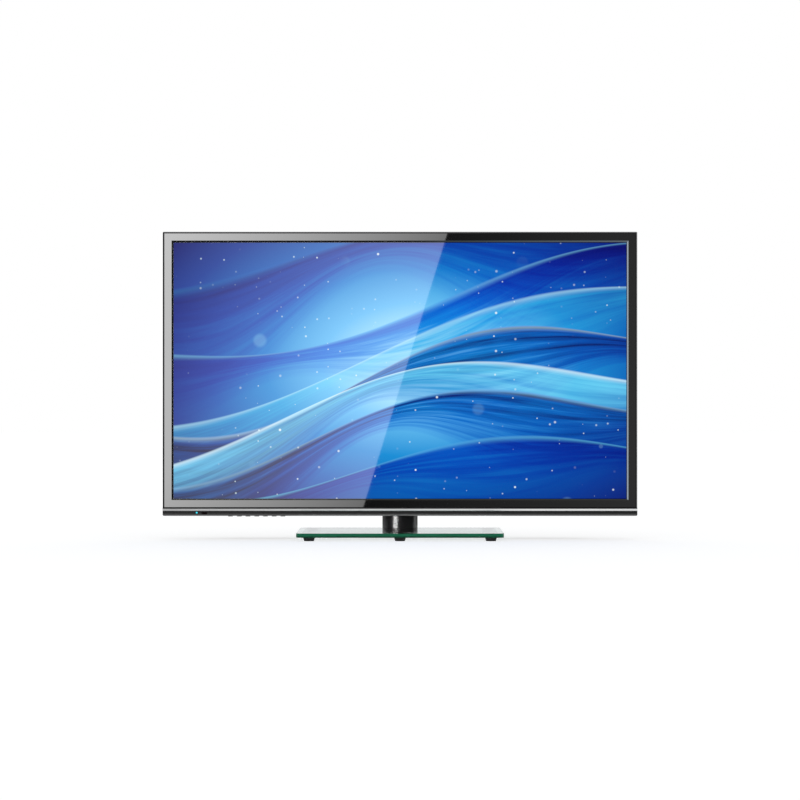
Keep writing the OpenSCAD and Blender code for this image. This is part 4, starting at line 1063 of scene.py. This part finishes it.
@dataclass
class RearHousing:
    """The moulded cover with its screws, wall mount posts and label."""

    palette: Palette
    edge: float = 0.8 * MM
    pad_radii: Span = (7.3 * MM, 11.0 * MM)
    pad_t: float = 0.6 * MM
    rim_slope: float = 0.4 * MM
    sink: float = 0.1 * MM
    mount_x: float = 100.0 * MM
    mount_z: Span = (150.0 * MM, 250.0 * MM)
    head_r: float = 3.0 * MM
    head_h: float = 1.8 * MM
    cup_gap: float = 0.3 * MM
    cup_reach: float = 2.2 * MM
    cup_t: float = 1.0 * MM
    label_size: Span = (92.0 * MM, 46.0 * MM)
    label_r: float = 3.0 * MM
    label_t: float = 0.2 * MM
    label_steps: int = 4

    def dress(self) -> None:
        """Give the cover's nodes their finishes."""
        tint = self.palette
        dress(tint.textured_black, self.edge, "rear_cover")
        dress(tint.brass, SHARP, "cover_posts")
        dress(tint.steel, METAL_EDGE, "cover_screws")
        dress(tint.steel, SOFT_EDGE, "vesa_posts")

    def build(self) -> None:
        """Add the rims around the wall mount posts and the screws, and the label."""
        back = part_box("vesa_posts")[1].y
        for side, column in (("left", -1), ("right", 1)):
            for row, z in enumerate(self.mount_z):
                self.rim(f"mount_rim_{side}_{row}", (column * self.mount_x, back, z), self.pad_radii, self.pad_t)
        self.screw_cups()
        self.label(back)

    def rim(self, name: str, centre: Point, radii: Span, height: float) -> None:
        """Add a moulded ring of this height on the cover's back."""
        ring = ring_of(centre, Axis.Y, sloped(radii, (-self.sink, height), self.rim_slope))
        settle(name, ring, self.palette.textured_black)

    def screw_cups(self) -> None:
        """Add a ring around each of the cover's screws, which stand in four rows and a top row of five."""
        low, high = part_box("cover_screws")
        face = high.y - self.head_h
        reach = high.x - self.head_r
        rows = [low.z + self.head_r + k * (high.z - low.z - 2 * self.head_r) / 3 for k in range(4)]
        places = [(side * reach, z) for side in (-1, 1) for z in rows]
        places += [(k * reach / 2, rows[-1]) for k in (-1, 0, 1)]
        radii = (self.head_r + self.cup_gap, self.head_r + self.cup_reach)
        for index, (x, z) in enumerate(places):
            self.rim(f"screw_cup_{index}", (x, face, z), radii, self.cup_t)

    def label(self, back: float) -> None:
        """Add the empty label between the wall mount posts.

        Args:
            back: Depth of the face that it lies on.
        """
        builder = bmesh.new()
        half_w, half_h = self.label_size[0] / 2, self.label_size[1] / 2
        middle = sum(self.mount_z) / 2
        outline = []
        for quarter, (sx, sz) in enumerate(((1, 1), (-1, 1), (-1, -1), (1, -1))):
            for step in range(self.label_steps + 1):
                turn = math.pi / 2 * (quarter + step / self.label_steps)
                x = sx * (half_w - self.label_r) + self.label_r * math.cos(turn)
                z = middle + sz * (half_h - self.label_r) + self.label_r * math.sin(turn)
                outline.append((x, z))
        lower = [builder.verts.new((x, back - self.sink, z)) for x, z in outline]
        upper = [builder.verts.new((x, back + self.label_t, z)) for x, z in outline]
        builder.faces.new(lower)
        builder.faces.new(upper)
        for k in range(len(outline)):
            n = (k + 1) % len(outline)
            builder.faces.new((lower[k], lower[n], upper[n], upper[k]))
        film = PrintedLabel("printed_label", (0.0, back, middle), self.label_size)
        settle("blank_label", builder, film.material())


@dataclass
class SocketPanel:
    """The signal sockets and the mains inlet in the cover's two bays."""

    palette: Palette
    wall_x: float = 205.0 * MM
    reach: float = 8.0 * MM
    phono_y: float = 1.6 * MM
    phono_z: Point = (156.0 * MM, 173.6 * MM, 191.2 * MM)
    phono_r: float = 4.2 * MM
    phono_radii: Span = (1.7 * MM, 3.3 * MM)
    collar_gap: float = 0.05 * MM
    collar_reach: Span = (1.8 * MM, 2.4 * MM)
    collar_t: Span = (1.2 * MM, 1.8 * MM)
    face_heights: Span = (-0.05 * MM, 0.3 * MM)
    face_slope: float = 0.2 * MM
    aerial: Span = (2.6 * MM, 120.8 * MM)
    aerial_r: float = 4.7 * MM
    aerial_radii: Span = (1.1 * MM, 3.5 * MM)
    turns: int = 8
    pitch: float = 0.75 * MM
    thread_start: float = 1.4 * MM
    thread_gap: float = 0.02 * MM
    thread_h: float = 0.45 * MM

    def dress(self) -> None:
        """Give the sockets' nodes their finishes."""
        tint = self.palette
        dress(tint.steel, FINE_EDGE, "hdmi_sockets", "usb_socket", "antenna_socket")
        dress(tint.socket_blue, FINE_EDGE, "vga_socket")
        dress(tint.brass, TRIM_EDGE, "av_sockets")
        dress(tint.matt_black, TRIM_EDGE, "ac_inlet", "headphone_socket")

    def build(self) -> None:
        """Add the coloured collars, the insulators and the aerial socket's thread."""
        tint = self.palette
        foot = self.phono_r + self.collar_gap
        top, side = (foot + reach for reach in self.collar_reach)
        low, high = self.collar_t
        collar = ((foot, 0.0), (side, 0.0), (side, low), (top, high), (foot, high))
        for z, colour in zip(self.phono_z, (tint.phono_red, tint.phono_white, tint.phono_yellow)):
            label = colour.name.split("_")[1]
            ring = ring_of((self.wall_x, self.phono_y, z), Axis.X, collar)
            settle(f"phono_collar_{label}", ring, colour)
            self.insulator(f"phono_insulator_{label}", (self.phono_y, z), self.phono_radii)
        self.insulator("aerial_insulator", self.aerial, self.aerial_radii)
        self.thread()

    def insulator(self, name: str, jack: Span, radii: Span) -> None:
        """Add a pale ring on a jack's end face.

        Args:
            name: The piece's name.
            jack: Depth and height of the jack's axis.
            radii: Inner and outer radius.
        """
        profile = sloped(radii, self.face_heights, self.face_slope)
        ring = ring_of((self.wall_x + self.reach, *jack), Axis.X, profile)
        settle(name, ring, self.palette.phono_white)

    def thread(self) -> None:
        """Add the ridges of the aerial socket's thread."""
        root, crest = self.aerial_r + self.thread_gap, self.aerial_r + self.thread_h
        valley, start = root + self.thread_gap, self.thread_start
        end = start + self.turns * self.pitch
        profile = []
        for turn in range(self.turns):
            profile += [(valley, start + turn * self.pitch), (crest, start + (turn + 0.5) * self.pitch)]
        profile += [(valley, end), (root, end), (root, start)]
        settle("aerial_thread", ring_of((self.wall_x, *self.aerial), Axis.X, profile), self.palette.steel)


@dataclass
class Studio:
    """The white floor and surround, the reflectors and lamps, and the camera."""

    eye: Point = (0.0, -4.35, 0.2139)
    focal: float = 126.5
    sensor: float = 36.0
    floor_size: float = 14.0
    floor_greys: Span = (0.44, 0.46)
    floor_glow: float = 0.66
    front_y: float = -0.040
    frame_gap: float = 1.2
    screen_gap: float = 1.3
    front_glow: float = 0.05
    back_glow: float = 0.88
    dome_glow: float = 1.0
    below_share: float = 0.2
    back_fade: Span = (-0.15, 0.25)
    dome_fade: Span = (0.30, 0.80)
    below_fade: Span = (-0.02, 0.0)
    daylight: Colour = (0.97, 0.985, 1.0)
    frame_glare: tuple[Span, Span] = ((4.0, 13.8), (0.1, 0.65))
    screen_glare: tuple[Span, Span] = ((3.5, 0.4), (0.0, 0.0))
    glare_top: Span = (0.0722, 0.4684)
    glare_foot: Span = (-0.0520, 0.0637)
    glare_side: float = 0.364
    glare_reach: float = 0.9
    glare_heights: Span = (-0.4, 0.95)
    cool: Colour = (0.74, 0.88, 1.0)
    neck_nodes: tuple[str, ...] = ("neck_post", "swivel_collar")
    neck_boxes: tuple[SoftBox, ...] = (
        SoftBox("neck_soft_box", (-0.95, -1.7, 0.3), (0.0, 0.0, 0.03), (0.95, 1.0), 71.0),
        SoftBox("neck_side_box", (1.35, 0.62, 0.25), (0.0, 0.0, 0.03), (0.5, 1.0), 1.4),
    )
    set_boxes: tuple[SoftBox, ...] = (
        SoftBox("top_soft_box", (0.0, 0.6, 2.6), (0.0, 0.0, 0.2), (2.6, 2.0), 40.0),
        SoftBox("rear_soft_box", (1.6, 2.4, 1.5), (0.0, 0.0, 0.2), (1.0, 1.0), 110.0),
    )

    def cards(self) -> tuple[EvenCard, ...]:
        """Return the reflectors for the bar, the strip, the frame's lips and its outer edge."""
        bounce = flat((-0.6, 0.6), (-0.55, 0.0), 0.0135)
        strip = upright((-0.6, -0.7), (0.6, -0.7), (-1.4, 1.2))
        bar = upright((-0.6, -1.4), (0.6, -1.4), (-0.3, 0.5))
        lip = upright((-0.56, -0.83), (-0.664, -1.21), (-0.25, 0.8))
        top_lip = flat((0.0, 0.5), (-0.9, -0.4), 0.003)
        edge = upright((1.6, -1.1), (1.6, 0.5), (-0.7, 0.9))
        return (
            EvenCard("bounce_sheet", Axis.Y, bounce, (0.05, 1.8), "chin_bar"),
            EvenCard("strip_sheet", Axis.X, strip, (0.45, 1.2), "chin_strip"),
            EvenCard("bar_sheet", Axis.X, bar, (0.6, 0.35), "chin_bar"),
            EvenCard("lip_sheet", Axis.Z, lip, (8.0, 9.0), "front_bezel", self.cool, (0.0, 0.12, 0.2)),
            EvenCard("top_lip_sheet", Axis.X, top_lip, (0.4, 4.0), "front_bezel", self.cool, (0.08, 0.12, 0.0)),
            EvenCard("edge_sheet", Axis.Y, edge, (1.5, 2.5), "front_bezel", soft=(0.0, 0.0, 0.35)),
        )

    def mirrored(self, spot: Span, gap: float) -> Span:
        """Return where a spot on the screen's front is seen on a reflector.

        Args:
            spot: Place across and height on the front.
            gap: Distance of the reflector from the front.

        Returns:
            Place across and height on the reflector.
        """
        throw = self.front_y - self.eye[1]
        grow = (throw + gap) / throw
        return spot[0] * grow, self.eye[2] + (spot[1] - self.eye[2]) * grow

    def world(self) -> None:
        """Make a white surround that is dimmer in front of the set."""
        graph = Graph("white_surround", world=True)
        bpy.context.scene.world = graph.owner
        parts = graph.node("SeparateXYZ", {0: graph.node("TexCoord").outputs["Generated"]}).outputs
        back = graph.span(parts[1], *self.back_fade, self.front_glow, self.back_glow, smooth=True)
        steep = graph.math("ABSOLUTE", parts[2])
        dome = graph.span(steep, *self.dome_fade, self.front_glow, self.dome_glow, smooth=True)
        below = graph.span(parts[2], *self.below_fade, self.below_share, 1.0, smooth=True)
        power = graph.math("MULTIPLY", graph.math("MAXIMUM", back, dome), below)
        cast = graph.node("Background", {"Color": self.daylight, "Strength": power})
        seen = graph.node("Background", {"Color": WHITE})
        ray = graph.node("LightPath").outputs["Is Camera Ray"]
        graph.close(graph.node("MixShader", {0: ray, 1: cast.outputs[0], 2: seen.outputs[0]}))

    def floor(self) -> bpy.types.Object:
        """Lay a plain pale floor and return it."""
        builder = bmesh.new()
        bmesh.ops.create_grid(builder, x_segments=1, y_segments=1, size=self.floor_size)
        floor = mesh_object("floor", builder)
        graph = Graph("pale_floor")
        speck = graph.noise(graph.place(), 40.0, 2.0)
        floor.data.materials.append(graph.surface({
            "Base Color": graph.mix(speck, *(shade(WHITE, grey) for grey in self.floor_greys)),
            "Roughness": 0.9,
            "Specular IOR Level": 0.0,
            "Emission Color": WHITE,
            "Emission Strength": self.floor_glow,
        }))
        floor.visible_glossy = False
        return floor

    def hang(self, name: str, corners: Sequence[Point], material: Material, node: str) -> None:
        """Hang a reflector that only one node mirrors.

        Args:
            name: Its name.
            corners: Its corners in turn.
            material: Its glow.
            node: The node that mirrors it.
        """
        builder = bmesh.new()
        builder.faces.new([builder.verts.new(corner) for corner in corners])
        card = mesh_object(name, builder)
        card.data.materials.append(material)
        for ray in ("camera", "diffuse", "transmission", "volume_scatter", "shadow"):
            setattr(card, "visible_" + ray, False)
        self.limit(card, (node,))

    def glare(self, name: str, gap: float, left: Span, right: Span, node: str) -> None:
        """Hang the reflector whose slanted edge shows on the front.

        Args:
            name: Its name.
            gap: Distance from the front.
            left: Glow at the slanted edge and at the set's left side.
            right: Glow right of that edge and at the set's right side.
            node: The node that mirrors it.
        """
        top, foot = self.mirrored(self.glare_top, gap), self.mirrored(self.glare_foot, gap)
        side = self.mirrored((self.glare_side, 0.0), gap)[0]
        lean = (top[0] - foot[0]) / (top[1] - foot[1])
        card = GlareCard(name, foot[0] - lean * foot[1], lean, top[0] + side, *left, side - foot[0], *right)
        y = self.front_y - gap
        corners = upright((-self.glare_reach, y), (self.glare_reach, y), self.glare_heights)
        self.hang(name, corners, card.material(), node)

    def limit(self, light: bpy.types.Object, nodes: Sequence[str]) -> None:
        """Let a light reach only some nodes.

        Args:
            light: The lamp or reflector.
            nodes: The nodes that it lights.
        """
        group = bpy.data.collections.new(light.name + "_lights")
        for node in nodes:
            group.objects.link(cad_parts[node])
        light.light_linking.receiver_collection = group

    def spare(self, light: bpy.types.Object, piece: bpy.types.Object) -> None:
        """Keep a light off one piece.

        Args:
            light: The lamp.
            piece: What it doesn't light.
        """
        group = bpy.data.collections.new(light.name + "_spares")
        group.objects.link(piece)
        group.collection_objects[0].light_linking.link_state = "EXCLUDE"
        light.light_linking.receiver_collection = group

    def camera(self) -> None:
        """Set the camera level, at the height of the photograph's middle."""
        data = bpy.data.cameras.new("camera")
        data.sensor_width = self.sensor
        data.lens = self.focal
        camera = bpy.data.objects.new("camera", data)
        camera.location = self.eye
        camera.rotation_euler = (math.radians(90.0), 0.0, 0.0)
        bpy.context.scene.collection.objects.link(camera)
        bpy.context.scene.camera = camera

    def build(self) -> None:
        """Set up the whole studio."""
        bpy.context.scene.view_settings.view_transform = "Standard"
        self.camera()
        self.world()
        floor = self.floor()
        self.glare("frame_reflector", self.frame_gap, *self.frame_glare, "front_bezel")
        self.glare("screen_reflector", self.screen_gap, *self.screen_glare, "lcd_cell")
        for card in self.cards():
            self.hang(card.name, card.corners, card.material(), card.node)
        for box in self.neck_boxes:
            self.limit(box.hang(), self.neck_nodes)
        for box in self.set_boxes:
            self.spare(box.hang(), floor)
        LOG.info("studio ready")


def main() -> None:
    """Build and dress the set piece by piece, then set up the studio."""
    logging.basicConfig(level=logging.INFO, format="%(name)s: %(message)s")
    palette = Palette()
    stand = GlassStand(palette)
    stand.dress()
    stand.build()
    SwivelNeck(palette).dress()
    FrontFrame(palette).dress()
    ScreenPanel(palette).dress()
    Electronics(palette).dress()
    housing = RearHousing(palette)
    housing.dress()
    housing.build()
    sockets = SocketPanel(palette)
    sockets.dress()
    sockets.build()
    Studio().build()


if __name__ == "__main__":
    main()
